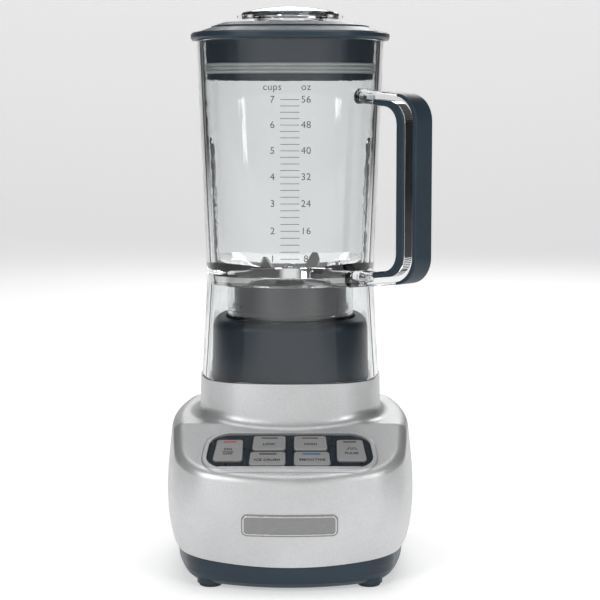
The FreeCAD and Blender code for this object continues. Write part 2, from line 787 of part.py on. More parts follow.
def button(name):
    """Key cap with a retaining flange, and a strip behind its crease that slopes down."""
    outline = button_outline(name)
    body = plate(outline, button_low, button_rise)
    body = body.makeFillet(0.7, edges_on(body, lambda p: abs(p.z - button_rise) < 0.01))
    v1 = button_layout[name][4]
    wedge = box(-far, far, 0, far, 0, far)
    wedge.rotate(Vector(0, 0, 0), Vector(1, 0, 0), -math.degrees(math.atan(button_facet / button_crease)))
    wedge.translate(Vector(0, v1 - button_crease, button_rise))
    flange_top = -bezel_t - button_travel_stop
    flange = plate(grown(outline, button_flange), flange_top - button_flange_t, flange_top)
    hollow = plate(grown(outline, -1.8), button_low - 1, button_rise - 2.6)
    stem = cyl(2.2, button_low, button_rise - 1.5, *button_middle(name))
    body = body.fuse(flange).cut([wedge, hollow]).fuse(stem)
    return on_panel(body.cut(lens_box(name, 0.02)))


def button_middle(name):
    u0, u1, top_u1, v0, v1 = button_layout[name]
    side = -1 if name in left_buttons else 1
    return side * (u0 + (u1 + top_u1) / 2) / 2, (v0 + v1) / 2


def button_lens(name):
    return on_panel(lens_box(name))


def control_board():
    w, h = board_w / 2, board_h / 2
    outline = rounded_outline([(-w, -h), (w, -h), (w, h), (-w, h)], [3.0] * 4)
    body = plate(outline, board_top - board_t, board_top)
    return on_panel(body.cut([cyl(1.3, board_top - 5, board_top + 1, x, y) for x, y in board_holes]))


def button_switches():
    """Six tact switches on the control board, one under each button's stem."""
    made = []
    for name in button_layout:
        x, y = button_middle(name)
        case = box(x - 3, x + 3, y - 3, y + 3, board_top, board_top + 2.2)
        plunger = cyl(1.6, board_top + 2, button_low - button_travel - 0.1, x, y)
        made.append(on_panel(case.fuse(plunger)))
    return group(made)


# ---------------------------------------------------------------- motor


def stator_core():
    """Laminated field frame, square with clipped corners, bored for the armature."""
    w = stator_w / 2
    outline = rounded_outline([(-w, -w), (w, -w), (w, w), (-w, w)], [12.0] * 4)
    body = plate(outline, stator_low_z, stator_high_z)
    slots = []
    for sy in (-1, 1):
        slots.append(box(-24, 24, min(sy * 14, sy * 34), max(sy * 14, sy * 34), 0, far))
    body = body.cut(cyl(stator_bore_r, 0, far)).cut(slots)
    poles = ring(w - 4, stator_bore_r, stator_low_z, stator_high_z).common(box(-far, far, -17, 17, 0, far))
    body = body.fuse(poles)
    return body.cut([cyl(2.2, 0, far, x, y) for x, y in tie_points])


def field_coils():
    """Two copper field coils, wound through the slots beside the bore."""
    made = []
    for sy in (-1, 1):
        low, high = sorted((sy * 28.5, sy * 34.0))
        outer = box(-24, 24, low, high, stator_low_z - 7, stator_high_z + 7)
        made.append(outer.makeFillet(2.0, [e for e in outer.Edges if abs(e.BoundBox.YLength) > 4]))
    return group(made)


def motor_lower_frame():
    """Cast cross that carries the lower bearing and stands on the rubber isolators."""
    hub = ring(15, bearing_r, frame_low_z, frame_low_z + 8)
    arms = [turned(box(0, motor_post * math.sqrt(2) + 5, -5.5, 5.5, frame_low_z, frame_low_z + frame_t), 45 + 90 * i)
            for i in range(4)]
    posts = [cyl(4.4, frame_low_z, stator_low_z, x, y) for x, y in tie_points]
    body = arms[0].fuse(arms[1:] + posts).cut(cyl(15, 0, far)).fuse(hub)
    body = body.cut([cyl(2.2, frame_low_z + 3, far, x, y) for x, y in tie_points])
    return body.cut([cyl(3.0, 0, frame_low_z + 2, sx * motor_post, sy * motor_post)
                     for sx in (-1, 1) for sy in (-1, 1)])


def motor_upper_frame():
    """Cast bridge over the commutator that carries the upper bearing."""
    hub = ring(15, bearing_r, upper_frame_z, upper_frame_z + 8)
    arms = [turned(box(0, tie_points[3][0] * math.sqrt(2) + 4, -5.5, 5.5, upper_frame_z + 4, upper_frame_z + 8),
                   45 + 90 * i) for i in range(4)]
    posts = [cyl(4.4, stator_high_z, upper_frame_z + 8, x, y) for x, y in tie_points]
    body = arms[0].fuse(arms[1:] + posts).cut(cyl(15, 0, far)).fuse(hub)
    return body.cut([cyl(2.2, 0, far, x, y) for x, y in tie_points])


def motor_tie_bolts():
    made = []
    for x, y in tie_points:
        shank = cyl(2.0, frame_low_z + 4, upper_frame_z + 9, x, y)
        made.append(shank.fuse(cyl(3.6, upper_frame_z + 8, upper_frame_z + 11, x, y)))
    return group(made)


def sleeve(z0):
    """Flanged sleeve that a spinning shaft runs in."""
    return ring(bearing_r, motor_shaft_r + spin_gap, z0, z0 + bearing_h)


def motor_isolators():
    """Rubber bushes between the pan's posts and the motor frame."""
    made = []
    for sx in (-1, 1):
        for sy in (-1, 1):
            x, y = sx * motor_post, sy * motor_post
            waist = cyl(5.0, isolator_low_z + 2.5, isolator_high_z - 2.5, x, y)
            low = cyl(6.5, isolator_low_z, isolator_low_z + 3, x, y)
            high = cyl(6.5, isolator_high_z - 3, isolator_high_z, x, y)
            pin = cyl(3.0, isolator_high_z - 1, isolator_high_z + 2, x, y)
            made.append(waist.fuse([low, high, pin]))
    return group(made)


def brush_holders():
    """Two plastic holders that hang from the upper frame, each guiding a brush."""
    made = []
    for i in (0, 1):
        holder = box(commutator_r + 1, 33, -5.5, 5.5, brush_z - 5, upper_frame_z + 4)
        channel = box(commutator_r, 31, -3.0, 3.0, brush_z - 3.0, brush_z + 3.0)
        clip = cyl(15, upper_frame_z - 1, upper_frame_z + 9)
        made.append(turned(holder.cut([channel, clip]), 180 * i))
    return group(made)


def carbon_brushes():
    made = []
    for i in (0, 1):
        brush = box(commutator_r - 1, 26, -3.0, 3.0, brush_z - 3.0, brush_z + 3.0)
        made.append(turned(brush.cut(cyl(commutator_r + spin_gap, 0, far)), 180 * i))
    return group(made)


def motor_shaft():
    """Steel shaft from the lower bearing to the drive coupling."""
    body = cyl(motor_shaft_r, frame_low_z - 1, coupling_top_z - 2)
    return body.makeChamfer(0.4, body.Edges[:1] + body.Edges[2:3])


def armature_core():
    """Laminated rotor with twelve winding slots."""
    body = ring(armature_r, motor_shaft_r, stator_low_z, stator_high_z)
    slots = []
    for i in range(armature_slots):
        neck = box(armature_r - 4, armature_r + 1, -0.9, 0.9, 0, far)
        pocket = cyl(3.0, 0, far, armature_r - 5.0, 0)
        slots.append(turned(neck.fuse(pocket), 360 / armature_slots * i))
    return body.cut(slots)


def armature_windings():
    """Wire in the rotor's slots, with its end turns above and below."""
    low = ring(armature_r - 2.5, motor_shaft_r + 4, stator_low_z - 6.5, stator_low_z)
    high = ring(armature_r - 2.5, motor_shaft_r + 4, stator_high_z, stator_high_z + 6.5)
    bar = cyl(2.9, stator_low_z - 1, stator_high_z + 1, armature_r - 5.0, 0)
    bars = [turned(bar, 360 / armature_slots * i) for i in range(armature_slots)]
    low = low.makeFillet(2.0, outer_only(at_height(low, stator_low_z - 6.5), 15))
    high = high.makeFillet(2.0, outer_only(at_height(high, stator_high_z + 6.5), 15))
    return low.fuse([high] + bars)


def commutator():
    body = ring(commutator_r, motor_shaft_r, commutator_low_z, commutator_high_z)
    gap = box(commutator_r - 0.8, commutator_r + 1, -0.25, 0.25, 0, far)
    gaps = [turned(gap, 360 / commutator_bars * i) for i in range(commutator_bars)]
    return body.cut(gaps)


def cooling_fan():
    """Fan on the lower end of the shaft that draws air through the base's vents."""
    hub_z = frame_low_z + 9
    body = ring(9, motor_shaft_r, hub_z, hub_z + 7).fuse(ring(22, 9, hub_z, hub_z + 1.6))
    blades = []
    for i in range(9):
        vane = box(8, fan_r - 8, -0.8, 0.8, hub_z, hub_z + 7)
        vane.rotate(Vector(12, 0, 0), Vector(0, 0, 1), 18)
        blades.append(turned(vane, 40 * i))
    return body.fuse(blades).cut(cyl(motor_shaft_r, 0, far))


def drive_coupling():
    """Toothed rubber and steel dog on top of the motor shaft."""
    teeth = star(coupling_r, coupling_valley_r, coupling_points, coupling_low_z + 2.4, coupling_top_z)
    seat = cyl(coupling_valley_r + 2.6, coupling_low_z, coupling_low_z + 2.5)
    teeth = teeth.makeChamfer(0.5, at_height(teeth, coupling_top_z))
    return teeth.fuse(seat).cut(cyl(motor_shaft_r, 0, coupling_top_z - 2))


def slinger():
    """Rubber disc on the shaft that throws spilt liquid off, under the pedestal's well."""
    return ring(12, motor_shaft_r, recess_floor_z - pedestal_wall - 6, recess_floor_z - pedestal_wall - 3.5)


def power_board():
    """Small board behind the motor with its capacitor, relay and choke."""
    board = box(-32, 32, board_y - 10, board_y + 10, power_board_z, power_board_z + board_t)
    capacitor = cyl(6.0, power_board_z + 1, power_board_z + 24, -22, board_y)
    relay = box(-10, 6, board_y - 7, board_y + 6, power_board_z + 1, power_board_z + 16)
    choke = cyl(7.0, power_board_z + 1, power_board_z + 10, 20, board_y)
    return board.fuse([capacitor, relay, choke])


# ---------------------------------------------------------------- jar


def jar_w(z):
    """Outer width of the jar at a height: it narrows from foot to seam and widens from there to its rim."""
    foot = ledge_z + seat_gap
    if z <= floor_under_z:
        return jar_foot_w + (jar_waist_w - jar_foot_w) * (z - foot) / (floor_under_z - foot)
    return jar_waist_w + (jar_top_w - jar_waist_w) * (z - floor_under_z) / (jar_rim_z - floor_under_z)


def jar_section(z, inset=0.0):
    return square(jar_w(z) - 2 * inset, jar_corner_r - inset, jar_bow, z)


def jar_outside():
    return loft(jar_section(ledge_z + seat_gap), jar_section(floor_under_z), jar_section(jar_rim_z))


def funnel_z(r):
    """Top of the jar's floor at a distance from the blade axis."""
    return floor_top_z + (r - floor_hole_r - 1.5) * floor_slope


def jar():
    """Clear jar: walls, dished floor, threaded neck and the skirt that drops over the pedestal."""
    outside = jar_outside()
    outside = outside.makeFillet(0.8, at_height(outside, jar_rim_z))
    cavity = loft(jar_section(floor_under_z + 2, jar_wall), jar_section(jar_rim_z + 2, jar_wall))
    floor = revolve([(0, floor_under_z - 10), (130, floor_under_z - 10), (130, funnel_z(130)),
                     (floor_hole_r + 1.5, floor_top_z), (floor_hole_r, floor_top_z - 0.8), (0, floor_top_z - 0.8)])
    cavity = cavity.cut(floor)
    foot = ledge_z + seat_gap
    inner_top = square(jar_w(floor_under_z - 3) - 2 * skirt_wall, jar_corner_r - skirt_wall, jar_bow, floor_under_z)
    inner_foot = square(jar_foot_w - 2 * skirt_wall, jar_corner_r - skirt_wall, jar_bow, foot)
    body = outside.cut([cavity, loft(inner_foot, inner_top)])
    tube_r = neck_tube_r - neck_tube_wall
    body = body.fuse(cyl(neck_tube_r, neck_tube_bottom_z, floor_under_z + 1))
    body = body.cut([cyl(tube_r, 0, floor_under_z), cyl(floor_hole_r, 0, far)])
    for i in range(thread_starts):
        start = helix_ridge(tube_r, -thread_h, 0.5, thread_bottom_z)
        body = body.fuse(turned(start, 360 / thread_starts * i))
    return body.fuse([jar_rib(side, outside) for side in (-1, 1)])


def jar_rib(side, outside):
    """Rounded upright rib inside a side wall, which breaks the swirl."""
    low_z = floor_under_z + 3
    x_low = side * (jar_w(low_z) / 2 - jar_wall)
    x_high = side * (jar_w(rib_top_z) / 2 - jar_wall)
    low, high = Vector(x_low, 0, low_z), Vector(x_high, 0, rib_top_z)
    run = high - low
    rod = Part.makeCylinder(rib_r, run.Length, low, run)
    tip = Part.makeSphere(rib_r, high)
    inside_line = loft(jar_section(low_z - 5, jar_wall / 2), jar_section(rib_top_z + 20, jar_wall / 2))
    return rod.fuse(tip).common(inside_line)


def handle_side(inset_out, inset_in, r0):
    """Side view of a C-shaped band of the handle, r against z, between two depths below its outside.

    The arms start at radius r0, and lean in towards the grip as they leave the jar.
    """
    lean = handle_arm_drop / (handle_outer_r - handle_start_r)

    def c_line(depth, arm_depth):
        r_out = handle_outer_r - depth
        corner = handle_corner_r + (handle_inner_corner_r - handle_corner_r) * depth / handle_depth
        top0 = handle_top_z - arm_depth - lean * (r0 - handle_start_r)
        top1 = handle_top_z - arm_depth - lean * (r_out - handle_start_r)
        low0 = handle_bottom_z + arm_depth + lean * handle_low_lean * (r0 - handle_start_r)
        low1 = handle_bottom_z + arm_depth + lean * handle_low_lean * (r_out - handle_start_r)
        return [(r0, low0), (r_out, low1), (r_out, top1), (r0, top0)], corner

    share = handle_arm_h / handle_depth
    outer, outer_corner = c_line(inset_out, inset_out * share)
    inner, inner_corner = c_line(inset_in, inset_in * share)
    return rounded_outline(outer + inner[::-1],
                           [0, outer_corner, outer_corner, 0, 0, inner_corner, inner_corner, 0])


def handle_band(inset_out, inset_in, width, r0, fillet):
    """A C-shaped band extruded across the handle's width, with rounded long edges."""
    body = plate(handle_side(inset_out, inset_in, r0), -width / 2, width / 2)
    if fillet:
        long_edges = edges_on(body, lambda p: abs(abs(p.z) - width / 2) < 0.01)
        long_edges = [e for e in long_edges if not all(abs(v.Point.x - r0) < 0.05 for v in e.Vertexes)]
        body = body.makeFillet(fillet, long_edges)
    return stand_up(body)


def stand_up(body):
    """Carries a shape drawn flat, with x as radius and y as height, into the handle's upright plane."""
    copy = body.copy()
    copy.rotate(Vector(0, 0, 0), Vector(1, 0, 0), 90)
    return turned(copy, handle_deg)


def beyond(r, low_z=0.0, high_z=far * 2):
    """Everything past a distance along the handle's direction."""
    return turned(box(r, far, -far, far, low_z, high_z), handle_deg)


def handle_core():
    """Clear core of the handle, flared where it joins the jar's corner, with a seat for each grip."""
    core = handle_band(0.0, handle_depth, handle_w - 1.0, handle_start_r - 20, 2.0)
    core = core.cut([grip_region_inner(), grip_region_outer()])
    flares = []
    lean = handle_arm_drop / (handle_outer_r - handle_start_r)
    for z_edge, sign, rate in ((handle_top_z, -1, 1.0), (handle_bottom_z, 1, handle_low_lean)):
        middle = z_edge + sign * handle_arm_h / 2
        far_z = middle + sign * lean * rate * 16
        near = root_section(52.0, middle - sign * 0.3, handle_root_w, handle_root_h)
        far_end = root_section(88.0, far_z, handle_w - 2.4, handle_arm_h - 1.2)
        flares.append(turned(loft(near, far_end), handle_deg))
    core = core.fuse(flares)
    return core.cut(jar_outside())


def root_section(r, z, w, h):
    """Rounded upright rectangle across the handle's direction, at radius r and height z."""
    wire = rounded_outline([(-w / 2, -h / 2), (w / 2, -h / 2), (w / 2, h / 2), (-w / 2, h / 2)], [h * 0.42] * 4)
    wire.rotate(Vector(0, 0, 0), Vector(1, 0, 0), 90)
    wire.rotate(Vector(0, 0, 0), Vector(0, 0, 1), 90)
    wire.translate(Vector(r, 0, z))
    return wire


def grip_region_inner():
    """Where the inner grip covers the core."""
    band = handle_band(handle_depth - grip_inner_t, handle_depth + 5, handle_w + 8, handle_start_r - 20, 0)
    return band.common(beyond(grip_inner_from_r))


def grip_region_outer():
    """Where the outer grip covers the core."""
    band = handle_band(-5, grip_outer_t, handle_w + 8, handle_start_r - 20, 0)
    return band.common(beyond(grip_outer_from_r))


def grip_inner():
    """Soft grip on the finger side of the handle."""
    band = handle_band(handle_depth - grip_inner_t, handle_depth, handle_w, handle_start_r - 20, 1.8)
    return band.common(beyond(grip_inner_from_r))


def grip_outer():
    """Soft grip on the palm side of the handle."""
    band = handle_band(0.0, grip_outer_t, handle_w, handle_start_r - 20, 0.8)
    return band.common(beyond(grip_outer_from_r))


# ---------------------------------------------------------------- blade assembly


def jar_gasket():
    """Flat seal between the blade carrier and the jar's floor; the thread's ridges clear it on the way off."""
    return ring(collar_r, floor_hole_r + 0.4, carrier_top_z, floor_under_z - seal_gap)


def blade_carrier():
    """Dark disc with a hub that closes the bottom of the jar and holds the blade shaft."""
    inner = collar_inner_r - 0.4
    body = revolve([(bushing_r, hub_low_z), (bushing_r + 3.5, hub_low_z), (bushing_r + 4, flange_under_z - 3),
                    (inner - 2, flange_under_z - 2), (inner, flange_under_z), (collar_r, flange_under_z), (collar_r, carrier_top_z),
                    (inner, carrier_top_z), (bushing_r + 8, carrier_top_z + 1.6), (bushing_r + 4.5, hub_top_z),
                    (bushing_r, hub_top_z)])
    ribs = []
    for i in range(6):
        web = box(bushing_r + 1, inner - 3, -1.2, 1.2, hub_low_z + 5, flange_under_z - 1)
        ribs.append(turned(web, 60 * i))
    return body.fuse(ribs)


def blade_bushing():
    """Bronze sleeve in the carrier's hub."""
    return ring(bushing_r, shaft_r + spin_gap, hub_low_z, hub_top_z - 2.2)


def shaft_seal():
    """Lip seal over the bushing."""
    return ring(bushing_r, shaft_r + spin_gap, hub_top_z - 2.2, hub_top_z)


def locking_collar():
    """Threaded ring that screws up into the jar's neck and clamps the blade carrier, with grip ribs below."""
    body = ring(collar_r, collar_inner_r, collar_bottom_z + 1, collar_top_z)
    rim = ring(neck_tube_r - 0.6, collar_inner_r, collar_bottom_z, neck_tube_bottom_z - seat_gap)
    body = body.fuse(rim)
    for i in range(thread_starts):
        start = helix_ridge(collar_r, thread_h, 0.5, thread_bottom_z + thread_lead / thread_starts / 2)
        body = body.fuse(turned(start, 360 / thread_starts * i))
    notch = cyl(1.4, 0, neck_tube_bottom_z, neck_tube_r, 0)
    notches = [turned(notch, 360 / collar_notches * i) for i in range(collar_notches)]
    return body.cut(notches)


def blade_shaft():
    """Steel spindle with a shoulder under the blades."""
    top_z = upper_blade_z + blade_t + 3.5
    body = cyl(shaft_r, socket_top_z, hub_top_z + shoulder_h)
    return body.fuse(cyl(shaft_r - shaft_step, hub_top_z, top_z))


def blade_washer():
    return ring(washer_r, shaft_r - shaft_step, hub_top_z + shoulder_h, lower_blade_z)


def wing(bend_deg, flat_r, length):
    """One blade wing along +X: a strip bent up at a knee, cut to a point, with a ground leading edge."""
    bend = math.radians(bend_deg)
    knee = flat_r - blade_t * math.tan(bend / 2)
    end_x, end_z = flat_r + length * math.cos(bend), length * math.sin(bend)
    back_x, back_z = end_x - blade_t * math.sin(bend), end_z + blade_t * math.cos(bend)
    side = rounded_outline([(0, 0), (flat_r, 0), (end_x, end_z), (back_x, back_z), (knee, blade_t), (0, blade_t)],
                           [0, blade_t + knee_r, 0, 0, knee_r, 0])
    strip = plate(side, -blade_w / 2, blade_w / 2)
    strip.rotate(Vector(0, 0, 0), Vector(1, 0, 0), 90)
    half = blade_w / 2
    grind = box(-1, far, -half - 1, -half + ground_w, blade_t - ground_h, far)
    outline = rounded_outline([(0, -half + 2), (knee * 0.7, -half), ((flat_r + end_x) / 2, -half + 1.5),
                               (end_x + 1, half - 2.5), (flat_r + 3, half), (knee * 0.7, half), (0, half - 2)], [0] * 7)
    return strip.common(plate(outline, -1, far)).cut(grind.common(box(-1, knee - 2, -far, far, 0, blade_t + 0.1)))


def blade_pair(z, direction, bend_deg, flat_r, length):
    """Two opposite wings in one stamping, with a hole for the spindle."""
    one = wing(bend_deg, flat_r, length)
    body = one.fuse([turned(one, 180), cyl(8.0, 0, blade_t)])
    body = turned(body.cut(cyl(shaft_r - shaft_step, -1, 5)), direction)
    body.translate(Vector(0, 0, z))
    return body


def upper_blade():
    return blade_pair(upper_blade_z, upper_blade_deg, upper_bend_deg, upper_flat_r, wing_l)


def lower_blade():
    return blade_pair(lower_blade_z, lower_blade_deg, lower_bend_deg, lower_flat_r, wing_l)


def blade_nut():
    """Cap nut that clamps the blades."""
    z = upper_blade_z + blade_t
    hexagon = [(nut_r * math.cos(math.radians(60 * i)), nut_r * math.sin(math.radians(60 * i))) for i in range(6)]
    body = plate(rounded_outline(hexagon, [0.3] * 6), z, z + nut_h)
    dome_z = z + nut_h - 0.6
    dome = Part.makeSphere(nut_r - 1.0, Vector(0, 0, dome_z)).common(box(-9, 9, -9, 9, dome_z, far * 2))
    return body.fuse(dome).cut(cyl(shaft_r - shaft_step, 0, z + nut_h + 0.3))


def jar_coupling():
    """Toothed cup under the blade shaft that drops over the drive coupling."""
    body = cyl(coupling_r + jar_coupling_wall, jar_coupling_low_z, jar_coupling_top_z)
    body = body.makeFillet(1.5, at_height(body, jar_coupling_top_z))
    socket = star(coupling_r + coupling_gap, coupling_valley_r + coupling_gap, coupling_points,
                  jar_coupling_low_z - 1, socket_top_z)
    return body.cut([socket, cyl(shaft_r, socket_top_z - 1, far)])


# ---------------------------------------------------------------- lid and cap


def lid_section(w, z):
    """The lid's outline scaled to a width."""
    return square(w, lid_corner_r * w / lid_w, lid_bow * w / lid_w, z)


def plug_w(z):
    """Width of the lid's plug, which follows the jar's inner wall."""
    return jar_w(z) - 2 * (jar_wall + plug_gap)


def plug_section(z, inset=0.0):
    r = jar_corner_r - jar_wall - plug_gap - inset
    return square(plug_w(z) - 2 * inset, r, jar_bow, z)


def lid_cover():
    """Lid with an overhanging rim, two low tiers, and a plug that fits into the jar."""
    under_z = jar_rim_z + seat_gap
    rim = loft(lid_section(lid_w - 1.6, under_z), lid_section(lid_w, under_z + 1.6),
               lid_section(lid_w, lid_edge_z - 1.2), lid_section(lid_w - 2.6, lid_edge_z))
    tier = loft(lid_section(lid_w - 4.0, lid_edge_z - 0.4), lid_section(118.0, lid_step_z - 0.2))
    step = loft(lid_section(116.0, lid_step_z - 1.0), lid_section(114.6, lid_step_z + 1.0))
    crown = loft(lid_section(114.6, lid_step_z + 0.9), lid_section(100.0, lid_top_z))
    low_z = under_z - plug_depth
    t = lid_wall
    plug = loft(plug_section(low_z), plug_section(lid_edge_z - 1.0))
    body = rim.fuse([plug, tier, step, crown])
    hollow = loft(plug_section(low_z - 1, t), plug_section(lid_edge_z - t, t))
    upper = loft(lid_section(110.0, lid_edge_z - t - 0.5), lid_section(97.0, lid_top_z - t))
    body = body.cut([hollow, upper])
    collar = cyl(lid_hole_r + t, lid_top_z - 18, lid_top_z - 0.2)
    body = body.fuse(collar).cut(cyl(lid_hole_r, 0, far * 2))
    return body.cut(seal_band(0.0))


def seal_band(grow):
    """The band of the plug that the seal sits in, from the groove's floor outwards."""
    z0, z1 = seal_low_z, seal_low_z + seal_h
    outer = loft(square(jar_w(z0) + 4, jar_corner_r, jar_bow, z0), square(jar_w(z1) + 4, jar_corner_r, jar_bow, z1))
    inner = loft(plug_section(z0, seal_base_t - grow), plug_section(z1, seal_base_t - grow))
    return outer.cut(inner)


def lid_seal():
    """Soft ribbed ring round the lid's plug."""
    pitch = seal_h / seal_ribs
    reach = plug_gap - seat_gap
    bands = []
    for i in range(seal_ribs):
        z = seal_low_z + i * pitch
        root, crest = 0.4, -reach
        bands.append(loft(plug_section(z, root), plug_section(z + pitch * 0.3, crest),
                          plug_section(z + pitch * 0.7, crest), plug_section(z + pitch, root)))
    body = bands[0].fuse(bands[1:])
    z0, z1 = seal_low_z - 0.01, seal_low_z + seal_h + 0.01
    return body.cut(loft(plug_section(z0, seal_base_t), plug_section(z1, seal_base_t)))


def pour_cap():
    """Clear measuring cap: a cup that hangs in the lid's hole under a domed flange with two finger tabs."""
    low_z = lid_top_z - cap_depth
    flange_z = cap_seat_z + 2.5
    dome_z = flange_z + cap_flange_t
    inner = cap_plug_r - cap_wall
    sagitta = cap_top_z - dome_z
    dome_r = ((cap_flange_r - 1.5) ** 2 + sagitta ** 2) / (2 * sagitta)
    body = revolve([(0, low_z), (cap_plug_r, low_z), (cap_plug_r, ring_z), (cap_groove_r, ring_z),
                    (cap_groove_r, ring_z + ring_h), (cap_plug_r, ring_z + ring_h), (cap_plug_r, cap_seat_z),
                    (cap_shoulder_r, cap_seat_z), (cap_shoulder_r, flange_z), (cap_flange_r - 0.8, flange_z),
                    (cap_flange_r, flange_z + 0.8), (cap_flange_r, dome_z - 1.0), (cap_flange_r - 1.0, dome_z),
                    (0, dome_z)])
    dome = Part.makeSphere(dome_r, Vector(0, 0, cap_top_z - dome_r))
    body = body.fuse(dome.common(cyl(cap_flange_r - 1.5, dome_z - 0.5, cap_top_z + 1)))
    wing_h = cap_flange_t * 0.62
    tabs = [box(-cap_wing_reach, cap_wing_reach, -cap_wing_w / 2, cap_wing_w / 2, flange_z + 0.4, flange_z + wing_h)]
    tabs = [t.makeFillet(1.2, [e for e in t.Edges if abs(abs(e.CenterOfMass.x) - cap_wing_reach) < 0.1]) for t in tabs]
    return body.fuse(tabs).cut(cyl(inner, 0, cap_top_z - cap_wall - 0.6))


def cap_ring():
    """Seal ring in the cap's groove, which the cap turns in."""
    outer = lid_hole_r - 0.06
    return ring(outer, cap_groove_r + spin_gap, ring_z + 0.1, ring_z + ring_h - 0.1)


# ---------------------------------------------------------------- all nodes


def nodes():
    made = {
        "housing": housing(),
        "base_pan": base_pan(),
        "pedestal": pedestal(),
        "panel_bezel": panel_bezel(),
        "badge_plate": badge_plate(),
        "feet": feet(),
        "base_screws": base_screws(),
        "inner_screws": inner_screws(),
        "cord_grommet": cord_grommet(),
        "control_board": control_board(),
        "button_switches": button_switches(),
        "power_board": power_board(),
        "stator_core": stator_core(),
        "field_coils": field_coils(),
        "motor_lower_frame": motor_lower_frame(),
        "motor_upper_frame": motor_upper_frame(),
        "motor_tie_bolts": motor_tie_bolts(),
        "lower_bearing": sleeve(frame_low_z + 0.5),
        "upper_bearing": sleeve(upper_frame_z + 0.5),
        "motor_isolators": motor_isolators(),
        "brush_holders": brush_holders(),
        "carbon_brushes": carbon_brushes(),
        "motor_shaft": motor_shaft(),
        "armature_core": armature_core(),
        "armature_windings": armature_windings(),
        "commutator": commutator(),
        "cooling_fan": cooling_fan(),
        "drive_coupling": drive_coupling(),
        "slinger": slinger(),
        "jar": jar(),
        "handle_core": handle_core(),
        "grip_inner": grip_inner(),
        "grip_outer": grip_outer(),
        "jar_gasket": jar_gasket(),
        "blade_carrier": blade_carrier(),
        "blade_bushing": blade_bushing(),
        "shaft_seal": shaft_seal(),
        "locking_collar": locking_collar(),
        "blade_shaft": blade_shaft(),
        "blade_washer": blade_washer(),
        "lower_blade": lower_blade(),
        "upper_blade": upper_blade(),
        "blade_nut": blade_nut(),
        "jar_coupling": jar_coupling(),
        "lid_cover": lid_cover(),
        "lid_seal": lid_seal(),
        "cap_ring": cap_ring(),
        "pour_cap": pour_cap(),
    }
    for name in button_layout:
        made["button_" + name] = button(name)
        made["lens_" + name] = button_lens(name)
    return made


def main():
    os.makedirs("parts", exist_ok=True)
    for name, shape in nodes().items():
        solids = shape.Solids
        if not solids or not all(s.isValid() and s.Volume > 0 for s in solids):
            print("check", name, len(solids), shape.isValid())
        shape.exportStep("parts/" + name + ".step")
        print(name, len(solids), round(shape.Volume / 1000, 2), "cm3")


main()
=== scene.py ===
import math

import bmesh
import bpy
from mathutils import Matrix, Vector
from mathutils.bvhtree import BVHTree


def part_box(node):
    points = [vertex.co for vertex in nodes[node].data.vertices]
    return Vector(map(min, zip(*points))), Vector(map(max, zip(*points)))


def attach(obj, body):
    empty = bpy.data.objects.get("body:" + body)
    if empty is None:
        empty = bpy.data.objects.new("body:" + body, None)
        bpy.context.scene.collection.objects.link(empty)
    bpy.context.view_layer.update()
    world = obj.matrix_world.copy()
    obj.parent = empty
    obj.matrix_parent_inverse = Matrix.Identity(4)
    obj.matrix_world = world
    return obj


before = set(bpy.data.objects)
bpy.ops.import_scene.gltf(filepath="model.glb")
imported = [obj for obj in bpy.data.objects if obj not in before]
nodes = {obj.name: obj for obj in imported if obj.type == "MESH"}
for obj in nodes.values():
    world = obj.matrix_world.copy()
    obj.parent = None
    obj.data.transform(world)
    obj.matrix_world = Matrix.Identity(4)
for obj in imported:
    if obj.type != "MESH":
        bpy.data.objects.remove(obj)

"""Looks for the countertop blender: materials on every CAD node, the printed scale on the jar, the legends
on the keys, the badge's rim, and the studio round it. Metres, in the CAD frame: the front is -Y.
"""

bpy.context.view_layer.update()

MM = 0.001
PRINT_T = 0.12 * MM         # thickness of printed ink

# ---------------------------------------------------------------- colours, linear

SILVER = (0.57, 0.575, 0.58)
SLATE = (0.022, 0.037, 0.052)
BEZEL = (0.010, 0.018, 0.026)
KEY = (0.34, 0.34, 0.34)
CHARCOAL = (0.009, 0.009, 0.010)
SILICONE = (0.55, 0.57, 0.56)
CLEAR = (0.93, 0.945, 0.95)
RED = (0.62, 0.012, 0.045)
BLUE = (0.008, 0.11, 0.42)
UNLIT = (0.030, 0.032, 0.034)
STEEL = (0.58, 0.58, 0.57)
INK = (0.10, 0.10, 0.10)
KEY_INK = (0.015, 0.015, 0.016)

# ---------------------------------------------------------------- node materials


